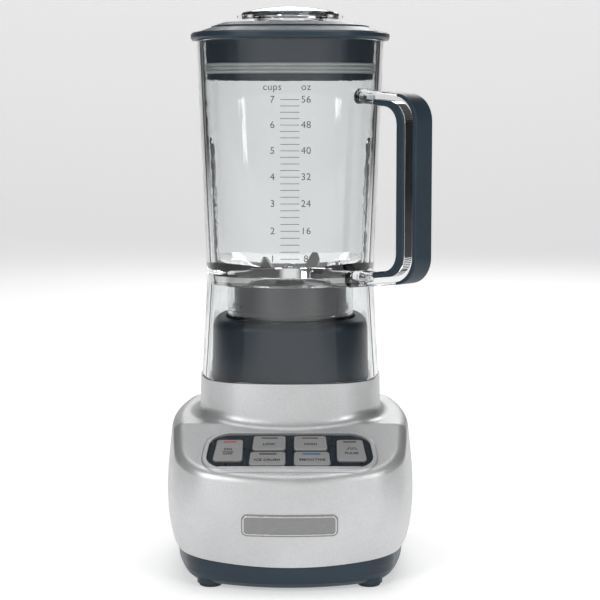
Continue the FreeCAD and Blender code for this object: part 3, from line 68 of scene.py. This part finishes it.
class Shader:
    """One material's node tree, with its Principled shader and object coordinates in metres."""

    def __init__(self, name, **constants):
        self.material = bpy.data.materials.new(name)
        self.material.use_nodes = True
        self.tree = self.material.node_tree
        self.shader = self.tree.nodes["Principled BSDF"]
        self.where = self.add("ShaderNodeTexCoord").outputs["Object"]
        for socket, value in constants.items():
            self.shader.inputs[socket.replace("_", " ")].default_value = value

    def add(self, kind, **settings):
        """A new node, with each setting on the input of that name, or else on the node itself."""
        node = self.tree.nodes.new(kind)
        for key, value in settings.items():
            if key in node.inputs:
                node.inputs[key].default_value = value
            else:
                setattr(node, key, value)
        return node

    def link(self, a, b):
        self.tree.links.new(a, b)

    def stretched(self, scale, turn=(0, 0, 0)):
        mapping = self.add("ShaderNodeMapping", Scale=scale, Rotation=turn)
        self.link(self.where, mapping.inputs["Vector"])
        return mapping.outputs["Vector"]

    def noise(self, scale, detail=3.0, vector=None):
        node = self.add("ShaderNodeTexNoise", Scale=scale, Detail=detail)
        self.link(vector or self.where, node.inputs["Vector"])
        return node.outputs["Fac"]

    def spread(self, fac, low, high, from_low=0.3, from_high=0.7):
        """A value that runs from low to high while fac runs from from_low to from_high, and stops there.

        The middle range, 0.3 to 0.7, is where nearly all of a noise texture's values lie.
        """
        node = self.add("ShaderNodeMapRange")
        self.link(fac, node.inputs["Value"])
        node.inputs["From Min"].default_value = from_low
        node.inputs["From Max"].default_value = from_high
        node.inputs["To Min"].default_value = low
        node.inputs["To Max"].default_value = high
        return node.outputs["Result"]

    def colour(self, fac, dark, light):
        """Base colour between two colours, mixed by fac."""
        node = self.add("ShaderNodeMix", data_type="RGBA")
        self.link(fac, node.inputs["Factor"])
        colours = [s for s in node.inputs if s.type == "RGBA"]
        colours[0].default_value = (*dark, 1)
        colours[1].default_value = (*light, 1)
        mixed = next(s for s in node.outputs if s.type == "RGBA")
        self.link(mixed, self.shader.inputs["Base Color"])

    def rough(self, fac, low, high):
        self.link(self.spread(fac, low, high), self.shader.inputs["Roughness"])

    def bump(self, height, distance, strength=0.5, after=None):
        """Relief from a height, on top of the relief that an earlier call returned."""
        node = self.add("ShaderNodeBump", Strength=strength, Distance=distance)
        self.link(height, node.inputs["Height"])
        if after:
            self.link(after, node.inputs["Normal"])
        self.link(node.outputs["Normal"], self.shader.inputs["Normal"])
        return node.outputs["Normal"]


def shade(colour, k):
    """A colour made k times as light."""
    return tuple(min(1.0, c * k) for c in colour)


def moulded(name, colour, rough=0.38, grain=2600, depth=0.00003, vary=0.10, **constants):
    """Moulded plastic: fine spark-eroded grain, slow drift in gloss, faint change of colour."""
    s = Shader(name, Specular_IOR_Level=0.28, **constants)
    drift = s.noise(22, 4)
    s.colour(s.spread(drift, 0, 1), shade(colour, 1 - vary), shade(colour, 1 + vary))
    s.rough(s.noise(95, 5), rough - 0.05, rough + 0.05)
    fine = s.bump(s.noise(grain, 2), depth * 0.4, 0.2)
    s.bump(s.noise(30, 2), 0.0001, 0.05, fine)
    return s.material


def silver_paint():
    """Satin silver paint with fine metal flake under a thin clear layer."""
    s = Shader("silver_paint", Metallic=0.7, Coat_Weight=0.15, Coat_Roughness=0.25)
    flake = s.add("ShaderNodeTexVoronoi", Scale=2300)
    s.link(s.where, flake.inputs["Vector"])
    drift = s.noise(14, 3)
    both = s.add("ShaderNodeMath", operation="ADD")
    s.link(s.spread(flake.outputs["Color"], -0.35, 0.35, 0, 1), both.inputs[0])
    s.link(s.spread(drift, 0.2, 0.8), both.inputs[1])
    s.colour(both.outputs["Value"], shade(SILVER, 0.86), shade(SILVER, 1.14))
    s.rough(s.noise(120, 4), 0.36, 0.46)
    fine = s.bump(flake.outputs["Distance"], 0.00001, 0.15)
    s.bump(s.noise(260, 3), 0.00002, 0.08, fine)
    return s.material


def clear_plastic(name, rough=0.015):
    """Clear polished plastic with faint flow waves from moulding."""
    s = Shader(name, Transmission_Weight=1.0, IOR=1.49)
    s.colour(s.spread(s.noise(9, 2), 0, 1), shade(CLEAR, 0.985), CLEAR)
    s.rough(s.noise(70, 4), rough * 0.5, rough * 1.8)
    waves = s.noise(1.0, 2, s.stretched((16, 16, 5)))
    s.bump(waves, 0.0004, 0.10)
    return s.material


def brushed(name, colour, along="x", rough=0.30, depth=0.00002):
    """Metal with fine scratches in one direction."""
    s = Shader(name, Metallic=1.0)
    scale = {"x": (60, 3200, 3200), "y": (3200, 60, 3200), "z": (3200, 3200, 60)}[along]
    lines = s.noise(1.0, 3, s.stretched(scale))
    s.colour(s.spread(lines, 0, 1), shade(colour, 0.90), shade(colour, 1.08))
    s.rough(lines, rough - 0.04, rough + 0.05)
    s.bump(lines, depth * 0.3, 0.25)
    return s.material


def turned_metal(name, colour, rough=0.28):
    """Machined metal with faint rings round Z."""
    s = Shader(name, Metallic=1.0)
    rings = s.add("ShaderNodeTexWave", wave_type="RINGS", rings_direction="Z", Scale=900, Distortion=0.6)
    s.link(s.where, rings.inputs["Vector"])
    s.colour(s.spread(s.noise(60, 4), 0, 1), shade(colour, 0.85), shade(colour, 1.1))
    s.rough(rings.outputs["Fac"], rough - 0.05, rough + 0.07)
    s.bump(rings.outputs["Fac"], 0.00001, 0.3)
    return s.material


def soft_rubber(name, colour, rough=0.62):
    """Matt rubber, silicone or cast surface with fine relief."""
    s = Shader(name, Specular_IOR_Level=0.35)
    s.colour(s.spread(s.noise(40, 5), 0, 1), shade(colour, 0.86), shade(colour, 1.12))
    s.rough(s.noise(180, 3), rough - 0.08, rough + 0.08)
    s.bump(s.noise(1500, 3), 0.00004, 0.4)
    return s.material


def wound_wire(name, colour):
    """Enamelled wire wound in layers round Z, with painted shade in the grooves between turns and a painted
    highlight on their crests.
    """
    s = Shader(name, Metallic=0.7)
    wave = s.add("ShaderNodeTexWave", wave_type="BANDS", bands_direction="Z", Scale=420, Distortion=1.2)
    s.link(s.where, wave.inputs["Vector"])
    # painted shade and highlight: darker in the grooves between turns and lighter on their crests, following
    # the relief
    s.colour(wave.outputs["Fac"], shade(colour, 0.55), shade(colour, 1.15))
    s.rough(wave.outputs["Fac"], 0.30, 0.42)
    s.bump(wave.outputs["Fac"], 0.0002, 0.6)
    return s.material


def laminated(name, colour):
    """Steel sheets stacked along Z."""
    s = Shader(name, Metallic=0.85)
    wave = s.add("ShaderNodeTexWave", wave_type="BANDS", bands_direction="Z", Scale=320)
    s.link(s.where, wave.inputs["Vector"])
    s.colour(wave.outputs["Fac"], shade(colour, 0.6), colour)
    s.rough(wave.outputs["Fac"], 0.38, 0.52)
    s.bump(wave.outputs["Fac"], 0.0001, 0.5)
    return s.material


def circuit_board(name):
    """Green lacquered board with faint track fields."""
    s = Shader(name, Coat_Weight=0.3)
    cells = s.add("ShaderNodeTexVoronoi", Scale=190, distance="MANHATTAN")
    s.link(s.where, cells.inputs["Vector"])
    s.colour(s.spread(cells.outputs["Distance"], 0, 1, 0.1, 0.5), (0.01, 0.09, 0.035), (0.02, 0.17, 0.07))
    s.rough(s.noise(300, 2), 0.35, 0.5)
    s.bump(cells.outputs["Distance"], 0.00005, 0.4)
    return s.material


def window(name, colour):
    """Small glossy indicator window."""
    s = Shader(name, Coat_Weight=0.6, Coat_Roughness=0.08)
    s.colour(s.spread(s.noise(700, 2), 0, 1), shade(colour, 0.85), shade(colour, 1.15))
    s.rough(s.noise(900, 2), 0.18, 0.28)
    return s.material


def ink(name, colour):
    """Pad-printed ink, slightly uneven at its edges and in its cover."""
    s = Shader(name, Specular_IOR_Level=0.3)
    s.colour(s.spread(s.noise(1600, 3), 0, 1), shade(colour, 0.8), shade(colour, 1.25))
    s.rough(s.noise(500, 3), 0.45, 0.6)
    return s.material


MATERIALS = {
    "silver": silver_paint(),
    "slate": moulded("slate_plastic", SLATE, 0.36),
    "slate_lid": moulded("slate_lid_plastic", SLATE, 0.33, 3200),
    "slate_soft": moulded("slate_grip", SLATE, 0.46, 1700, 0.00005),
    "bezel": moulded("bezel_plastic", BEZEL, 0.30, 3600, 0.00002),
    "key": moulded("key_plastic", KEY, 0.40, 3400, 0.00002, 0.05, Metallic=0.25),
    "charcoal": moulded("collar_plastic", CHARCOAL, 0.42, 2000, 0.00004),
    "clear": clear_plastic("clear_jar"),
    "clear_thick": clear_plastic("clear_handle", 0.02),
    "clear_cap": clear_plastic("clear_cap", 0.025),
    "silicone": soft_rubber("silicone", SILICONE, 0.5),
    "rubber": soft_rubber("black_rubber", (0.022, 0.023, 0.024)),
    "red": window("window_red", RED),
    "blue": window("window_blue", BLUE),
    "unlit": window("window_unlit", UNLIT),
    "badge": brushed("badge_metal", (0.26, 0.26, 0.265), "x", 0.34),
    "border": brushed("badge_border_metal", (0.60, 0.60, 0.60), "x", 0.26),
    "blade": brushed("blade_steel", STEEL, "y", 0.22, 0.00001),
    "steel": turned_metal("turned_steel", STEEL),
    "zinc": turned_metal("zinc_steel", (0.52, 0.52, 0.48), 0.36),
    "bronze": turned_metal("bronze", (0.50, 0.32, 0.15), 0.38),
    "cast": soft_rubber("cast_alloy", (0.42, 0.43, 0.44), 0.5),
    "copper": wound_wire("copper_wire", (0.62, 0.24, 0.09)),
    "bars": turned_metal("commutator_bars", (0.65, 0.32, 0.16), 0.3),
    "lamination": laminated("lamination", (0.30, 0.31, 0.33)),
    "board": circuit_board("circuit_board"),
    "black": moulded("black_plastic", (0.025, 0.025, 0.027), 0.45),
    "carbon": soft_rubber("carbon", (0.03, 0.03, 0.032), 0.55),
    "nylon": moulded("nylon", (0.55, 0.52, 0.42), 0.5),
    "ink": ink("scale_ink", INK),
    "key_ink": ink("key_ink", KEY_INK),
}

MATERIAL_NODES = {
    "silver": ("housing",),
    "slate": ("base_pan", "pedestal"),
    "bezel": ("panel_bezel",),
    "badge": ("badge_plate",),
    "rubber": ("feet", "cord_grommet", "motor_isolators", "drive_coupling", "slinger", "shaft_seal"),
    "zinc": ("base_screws", "inner_screws", "motor_tie_bolts"),
    "board": ("control_board", "power_board"),
    "black": ("button_switches", "brush_holders"),
    "lamination": ("stator_core", "armature_core"),
    "copper": ("field_coils", "armature_windings"),
    "cast": ("motor_lower_frame", "motor_upper_frame"),
    "bronze": ("lower_bearing", "upper_bearing", "blade_bushing"),
    "carbon": ("carbon_brushes",),
    "steel": ("motor_shaft", "blade_shaft", "blade_washer", "blade_nut"),
    "bars": ("commutator",),
    "nylon": ("cooling_fan",),
    "clear": ("jar",),
    "clear_thick": ("handle_core",),
    "slate_soft": ("grip_inner", "grip_outer"),
    "silicone": ("jar_gasket", "lid_seal", "cap_ring"),
    "charcoal": ("blade_carrier", "locking_collar", "jar_coupling"),
    "blade": ("lower_blade", "upper_blade"),
    "slate_lid": ("lid_cover",),
    "clear_cap": ("pour_cap",),
}
KEYS = ("power", "low", "ice", "high", "smoothie", "pulse")
LENS = {"power": "red", "smoothie": "blue"}


def paint_nodes():
    """Gives every CAD node its material."""
    material_of = {node: material for material, group in MATERIAL_NODES.items() for node in group}
    for key in KEYS:
        material_of["button_" + key] = "key"
        material_of["lens_" + key] = LENS.get(key, "unlit")
    for name, node in nodes.items():
        for place in node.material_slots:
            place.material = MATERIALS[material_of[name]]


paint_nodes()

# ---------------------------------------------------------------- pieces


def new_piece(name, mesh, material, body):
    """A mesh object on its CAD body, with its material."""
    piece = bpy.data.objects.new(name, mesh)
    bpy.context.scene.collection.objects.link(piece)
    mesh.materials.clear()
    mesh.materials.append(MATERIALS[material])
    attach(piece, body)
    return piece


def text_mesh(words, size, thick, bold=0.0):
    """Flat lettering in X and Y, centred on the origin, thick in Z."""
    curve = bpy.data.curves.new("words", "FONT")
    curve.body = words
    curve.size = size
    curve.align_x = "CENTER"
    curve.align_y = "CENTER"
    curve.extrude = thick / 2
    curve.offset = bold
    curve.space_character = 1.06
    made = bpy.data.objects.new("words", curve)
    bpy.context.scene.collection.objects.link(made)
    graph = bpy.context.evaluated_depsgraph_get()
    mesh = bpy.data.meshes.new_from_object(made.evaluated_get(graph))
    bpy.data.objects.remove(made)
    bpy.data.curves.remove(curve)
    return mesh


def box_mesh(x0, x1, y0, y1, thick, parts_x=1):
    """Flat bar in X and Y, thick in Z, divided along X so that it can bend."""
    bm = bmesh.new()
    for z in (-thick / 2, thick / 2):
        for i in range(parts_x + 1):
            x = x0 + (x1 - x0) * i / parts_x
            bm.verts.new((x, y0, z))
            bm.verts.new((x, y1, z))
    bm.verts.ensure_lookup_table()
    row = 2 * (parts_x + 1)
    v = bm.verts
    for i in range(parts_x):
        a, b, c, d = 2 * i, 2 * i + 1, 2 * i + 3, 2 * i + 2
        bm.faces.new((v[a], v[b], v[c], v[d]))
        bm.faces.new((v[row + a], v[row + d], v[row + c], v[row + b]))
        bm.faces.new((v[a], v[d], v[row + d], v[row + a]))
        bm.faces.new((v[b], v[row + b], v[row + c], v[c]))
    last = 2 * parts_x
    bm.faces.new((v[0], v[row], v[row + 1], v[1]))
    bm.faces.new((v[last], v[last + 1], v[row + last + 1], v[row + last]))
    bmesh.ops.recalc_face_normals(bm, faces=bm.faces)
    mesh = bpy.data.meshes.new("bar")
    bm.to_mesh(mesh)
    bm.free()
    return mesh


def joined(meshes):
    """One mesh from several."""
    bm = bmesh.new()
    for mesh in meshes:
        bm.from_mesh(mesh)
        bpy.data.meshes.remove(mesh)
    mesh = bpy.data.meshes.new("joined")
    bm.to_mesh(mesh)
    bm.free()
    return mesh


def moved(mesh, x, y):
    """The mesh, shifted in its own plane."""
    mesh.transform(Matrix.Translation((x, y, 0)))
    return mesh


# printed scale on the jar's front wall

jar_low, jar_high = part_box("jar")
floor_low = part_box("jar_gasket")[1].z      # the jar's walls taper from here
RIM_W = jar_high.x - jar_low.x
WAIST_W = 122.6 * MM        # outside, at the jar's floor
WALL = 3.2 * MM
WALL_BOW = 3.0 * MM
WALL_CORNER = 37.0 * MM
SCALE_LIFT = 0.35           # share of the ink's thickness from the wall's face to the ink's middle


def outer_width(z):
    """Width of the tapered jar at a height."""
    share = (z - floor_low) / (jar_high.z - floor_low)
    return WAIST_W + (RIM_W - WAIST_W) * share


def inner_width(z):
    """Width between the jar's walls at a height."""
    return outer_width(z) - 2 * WALL


def front_wall_y(x, z):
    """Where the jar's bowed front wall is, above its floor."""
    half = outer_width(z) / 2
    flat = half - WALL_CORNER - WALL_BOW
    r = WALL_CORNER + (WALL_BOW ** 2 + flat ** 2) / (2 * WALL_BOW)
    return -(half - r) - math.sqrt(r * r - x * x)


def on_jar(mesh):
    """Wraps a flat drawing in X and height onto the front wall, with its back sunk just into the surface."""
    for v in mesh.vertices:
        x, z, lift = v.co
        v.co = (x, front_wall_y(x, z) - lift - PRINT_T * SCALE_LIFT, z)
    return mesh


CUPS = 7
OUNCES_IN_CUP = 8
QUARTERS = 4
ONE_CUP_Z = 226.5 * MM
FIRST_STEP = 19.9 * MM      # height of a cup's volume at the one cup mark
BAR_HALF = 6.7 * MM
BAR_H = 0.42 * MM
BAR_PARTS = 6
DIGIT_SIZE = 6.9 * MM
CUPS_X = -12.2 * MM
OUNCES_X = 11.3 * MM
WORDS_Z = 8.7 * MM          # of the words over the top mark


def scale_bar(z):
    """One mark of the scale."""
    return box_mesh(-BAR_HALF, BAR_HALF, z - BAR_H / 2, z + BAR_H / 2, PRINT_T, BAR_PARTS)


def jar_scale():
    """Cups on the left and ounces on the right, each quarter of a cup taking the same volume of the jar."""
    parts = []
    z = ONE_CUP_Z
    for quarter in range((CUPS - 1) * QUARTERS + 1):
        parts.append(scale_bar(z))
        if quarter % QUARTERS == 0:
            cups = 1 + quarter // QUARTERS
            parts.append(moved(text_mesh(str(cups), DIGIT_SIZE, PRINT_T), CUPS_X, z))
            parts.append(moved(text_mesh(str(cups * OUNCES_IN_CUP), DIGIT_SIZE, PRINT_T), OUNCES_X, z))
        top_z = z
        z += FIRST_STEP / QUARTERS * (inner_width(ONE_CUP_Z) / inner_width(z)) ** 2
    for words, x in (("cups", CUPS_X), ("oz", OUNCES_X)):
        parts.append(moved(text_mesh(words, DIGIT_SIZE, PRINT_T), x, top_z + WORDS_Z))
    return new_piece("jar_scale", on_jar(joined(parts)), "ink", "jar")


jar_scale()

# legends on the keys

SLOPE = math.radians(25.0)
BOLD = 0.07 * MM            # added to every stroke
LEGEND_LIFT = 0.3           # share of the ink's thickness from the key's face to the ink's middle
TALL_WORD = 3.7 * MM
SHORT_WORD = 3.6 * MM
LONG_WORD = 3.5 * MM
PULSE_WORD = 3.4 * MM
ACROSS = Vector((1, 0, 0))
UP_SLOPE = Vector((0, math.cos(SLOPE), math.sin(SLOPE)))
OUT = Vector((0, -math.sin(SLOPE), math.cos(SLOPE)))


def key_middle(name):
    """The middle of the flat front of a key's cap."""
    spots = [v.co for v in nodes["button_" + name].data.vertices]
    top = max(p.dot(OUT) for p in spots)
    face = [p for p in spots if p.dot(OUT) > top - 0.05 * MM]
    us = [p.x for p in face]
    vs = [p.dot(UP_SLOPE) for p in face]
    return ACROSS * (min(us) + max(us)) / 2 + UP_SLOPE * (min(vs) + max(vs)) / 2 + OUT * top


def word(letters, size, height=0.0):
    """A bold word in the key's plane, centred at a height over the key's middle."""
    return moved(text_mesh(letters, size, PRINT_T, BOLD), 0, height)


def power_legend():
    """ON over OFF, with a line between."""
    half_w = 4.1 * MM
    half_h = 0.2 * MM
    line = box_mesh(-half_w, half_w, -half_h, half_h, PRINT_T)
    return joined([word("ON", TALL_WORD, 2.5 * MM), line, word("OFF", TALL_WORD, -2.6 * MM)])


def pulse_legend():
    """A square pulse over its word."""
    line = 0.48 * MM
    step = 1.5 * MM
    rise = 1.7 * MM
    y0 = 2.4 * MM
    bars = []
    for i in range(5):
        level = y0 + (rise if i % 2 else 0)
        x0 = (i - 2.5) * step
        bars.append(box_mesh(x0, x0 + step + line, level, level + line, PRINT_T))
        if i:
            bars.append(box_mesh(x0, x0 + line, y0, y0 + rise + line, PRINT_T))
    return joined(bars + [word("PULSE", PULSE_WORD, -2.0 * MM)])


LEGENDS = {
    "power": power_legend,
    "low": lambda: word("LOW", SHORT_WORD),
    "high": lambda: word("HIGH", SHORT_WORD),
    "ice": lambda: word("ICE CRUSH", LONG_WORD),
    "smoothie": lambda: word("SMOOTHIE", LONG_WORD),
    "pulse": pulse_legend,
}


def key_legend(name):
    """A key's legend, laid on its sloping face."""
    mesh = LEGENDS[name]()
    on_panel = Matrix((ACROSS, UP_SLOPE, OUT)).transposed().to_4x4()
    mesh.transform(Matrix.Translation(key_middle(name) + OUT * PRINT_T * LEGEND_LIFT) @ on_panel)
    return new_piece("legend_" + name, mesh, "key_ink", "key_" + name)


for key in KEYS:
    key_legend(key)

# raised rim on the badge plate

badge_low, badge_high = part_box("badge_plate")
BADGE_CORNER = 4.0 * MM
BORDER_W = 0.9 * MM
BORDER_INSET = 0.9 * MM
BORDER_H = 0.35 * MM
BORDER_SUNK = 0.3 * MM      # how far its foot reaches into the plate


def rounded_loop(half_w, half_h, r, steps=8, along=16):
    """Points round a rounded rectangle, with more along its sides so that it can follow a bowed face."""
    points = []
    flat_w = half_w - r
    flat_h = half_h - r
    for sx, sz, start in ((1, 1, 0), (-1, 1, 90), (-1, -1, 180), (1, -1, 270)):
        for i in range(steps + 1):
            angle = math.radians(start + 90 * i / steps)
            points.append((sx * flat_w + r * math.cos(angle), sz * flat_h + r * math.sin(angle)))
        runs_along_x = start in (0, 180)
        reach_x = 2 * flat_w if runs_along_x else 0
        reach_z = 0 if runs_along_x else 2 * flat_h
        x, z = points[-1]
        for i in range(1, along):
            points.append((x - sx * reach_x * i / along, z - sz * reach_z * i / along))
    return points


def badge_border():
    """Raised rim that follows the badge plate's bowed front."""
    plate = nodes["badge_plate"].data
    tree = BVHTree.FromPolygons([v.co for v in plate.vertices], [list(p.vertices) for p in plate.polygons])
    middle = (badge_low + badge_high) / 2
    half_w = (badge_high.x - badge_low.x) / 2 - BORDER_INSET
    half_h = (badge_high.z - badge_low.z) / 2 - BORDER_INSET
    shoulder = BORDER_H * 0.7
    profile = ((0, -BORDER_SUNK), (0, shoulder), (BORDER_W * 0.25, BORDER_H),
               (BORDER_W * 0.75, BORDER_H), (BORDER_W, shoulder), (BORDER_W, -BORDER_SUNK))
    bm = bmesh.new()
    rings = []
    for inset, lift in profile:
        ring = []
        for x, dz in rounded_loop(half_w - inset, half_h - inset, BADGE_CORNER - BORDER_INSET - inset):
            z = middle.z + dz
            front = tree.ray_cast(Vector((x, -1, z)), Vector((0, 1, 0)))[0]
            ring.append(bm.verts.new((x, front.y - lift, z)))
        rings.append(ring)
    count = len(rings[0])
    for a, b in zip(rings, rings[1:]):
        for i in range(count):
            j = (i + 1) % count
            bm.faces.new((a[i], a[j], b[j], b[i]))
    bmesh.ops.recalc_face_normals(bm, faces=bm.faces)
    mesh = bpy.data.meshes.new("badge_border")
    bm.to_mesh(mesh)
    bm.free()
    for face in mesh.polygons:
        face.use_smooth = True
    return new_piece("badge_border", mesh, "border", "base")


badge_border()

# ---------------------------------------------------------------- studio

BOWL_R = 2.6                # flat part of the floor
BOWL_BEND = 1.2
BEND_STEPS = 12
BOWL_SIDES = 96
PAPER_GLOW = 0.45
SIDE_FADE = (0.9, 1.9)      # distances to the side between which the wall turns to grey painted shade
WALL_FADE = (0.0, 0.12)     # heights between which the floor becomes wall
# grey of the painted shade on the far side walls, where the studio round the lamps would be dark
SIDE_SHADE_GREY = 0.16
WORLD_LIGHT = 0.12
LIT_POINT = (0, 0, 0.2)
LIGHTS = (                  # name, place, width, height, watts
    ("front_left", (-1.2, -1.9, 1.1), 0.7, 1.2, 19),
    ("front_right", (1.3, -1.7, 1.0), 0.6, 1.2, 13),
    ("back", (0.3, 2.0, 1.3), 1.2, 0.8, 12),
    ("top", (0, 0.1, 2.1), 1.4, 1.4, 14),
)

CAMERA_PLACE = Vector((7.1 * MM, -1.352, 0.3383))
CAMERA_PITCH = 6.219        # degrees
SENSOR_MM = 36.0
LENS_MM = 3.07 * SENSOR_MM


def studio_bowl():
    """Floor that curves up into a low round wall."""
    bm = bmesh.new()
    profile = [(0.6, 0.0), (BOWL_R, 0.0)]
    for i in range(1, BEND_STEPS + 1):
        angle = math.radians(90 * i / BEND_STEPS)
        profile.append((BOWL_R + BOWL_BEND * math.sin(angle), BOWL_BEND * (1 - math.cos(angle))))
    turns = [2 * math.pi * i / BOWL_SIDES for i in range(BOWL_SIDES)]
    centre = bm.verts.new((0, 0, 0))
    rings = []
    for r, z in profile:
        rings.append([bm.verts.new((r * math.cos(turn), r * math.sin(turn), z)) for turn in turns])
    for i in range(BOWL_SIDES):
        j = (i + 1) % BOWL_SIDES
        bm.faces.new((centre, rings[0][i], rings[0][j]))
        for a, b in zip(rings, rings[1:]):
            bm.faces.new((a[i], b[i], b[j], a[j]))
    for face in bm.faces:
        face.smooth = True
    mesh = bpy.data.meshes.new("studio_bowl")
    bm.to_mesh(mesh)
    bm.free()
    bowl = bpy.data.objects.new("studio_bowl", mesh)
    bpy.context.scene.collection.objects.link(bowl)
    mesh.materials.append(backdrop())


def backdrop():
    """Near-white paper with a little light of its own, and a wall painted grey far out to the sides as
    painted shade, standing in for the dark studio beyond the lamps.

    The grey painted shade on the sides gives the clear plastic its dark edges.
    """
    s = Shader("pale_floor", Specular_IOR_Level=0.1)
    parts = s.add("ShaderNodeSeparateXYZ")
    s.link(s.where, parts.inputs["Vector"])
    aside = s.add("ShaderNodeMath", operation="ABSOLUTE")
    s.link(parts.outputs["X"], aside.inputs[0])
    uneven = s.add("ShaderNodeMath", operation="ADD")
    s.link(aside.outputs["Value"], uneven.inputs[0])
    s.link(s.spread(s.noise(3, 2), -0.02, 0.02), uneven.inputs[1])
    both = s.add("ShaderNodeMath", operation="MULTIPLY")
    s.link(s.spread(uneven.outputs["Value"], 0, 1, *SIDE_FADE), both.inputs[0])
    s.link(s.spread(parts.outputs["Z"], 0, 1, *WALL_FADE), both.inputs[1])
    # painted shade: grey on the far side walls above the floor, where the paper's own glow also fades out
    painted_shade_side = both.outputs["Value"]
    s.colour(painted_shade_side, (0.91, 0.91, 0.91), (SIDE_SHADE_GREY, SIDE_SHADE_GREY, SIDE_SHADE_GREY))
    s.rough(s.noise(8, 2), 0.7, 0.8)
    s.shader.inputs["Emission Color"].default_value = (1, 1, 1, 1)
    s.link(s.spread(painted_shade_side, PAPER_GLOW, 0, 0, 1), s.shader.inputs["Emission Strength"])
    return s.material


def soft_light(name, place, aim, width, height, power):
    """Rectangular area light at a place, turned to what it aims at."""
    data = bpy.data.lights.new(name, "AREA")
    data.shape = "RECTANGLE"
    data.size = width
    data.size_y = height
    data.energy = power
    lamp = bpy.data.objects.new(name, data)
    lamp.location = place
    lamp.rotation_euler = (Vector(aim) - Vector(place)).to_track_quat("-Z", "Y").to_euler()
    bpy.context.scene.collection.objects.link(lamp)


def studio():
    """Floor, even world light and the area lights."""
    studio_bowl()
    world = bpy.data.worlds.new("studio")
    world.use_nodes = True
    background = world.node_tree.nodes["Background"]
    background.inputs["Color"].default_value = (1.0, 1.0, 1.0, 1)
    background.inputs["Strength"].default_value = WORLD_LIGHT
    bpy.context.scene.world = world
    for name, place, width, height, power in LIGHTS:
        soft_light(name, place, LIT_POINT, width, height, power)


def camera():
    """Pitched camera in front, a little right of the middle."""
    data = bpy.data.cameras.new("camera")
    data.sensor_width = SENSOR_MM
    data.lens = LENS_MM
    data.clip_start = 0.05
    data.clip_end = 50
    made = bpy.data.objects.new("camera", data)
    made.location = CAMERA_PLACE
    made.rotation_euler = (math.radians(90 - CAMERA_PITCH), 0, 0)
    bpy.context.scene.collection.objects.link(made)
    bpy.context.scene.camera = made


studio()
camera()
bpy.context.scene.view_settings.view_transform = "Standard"
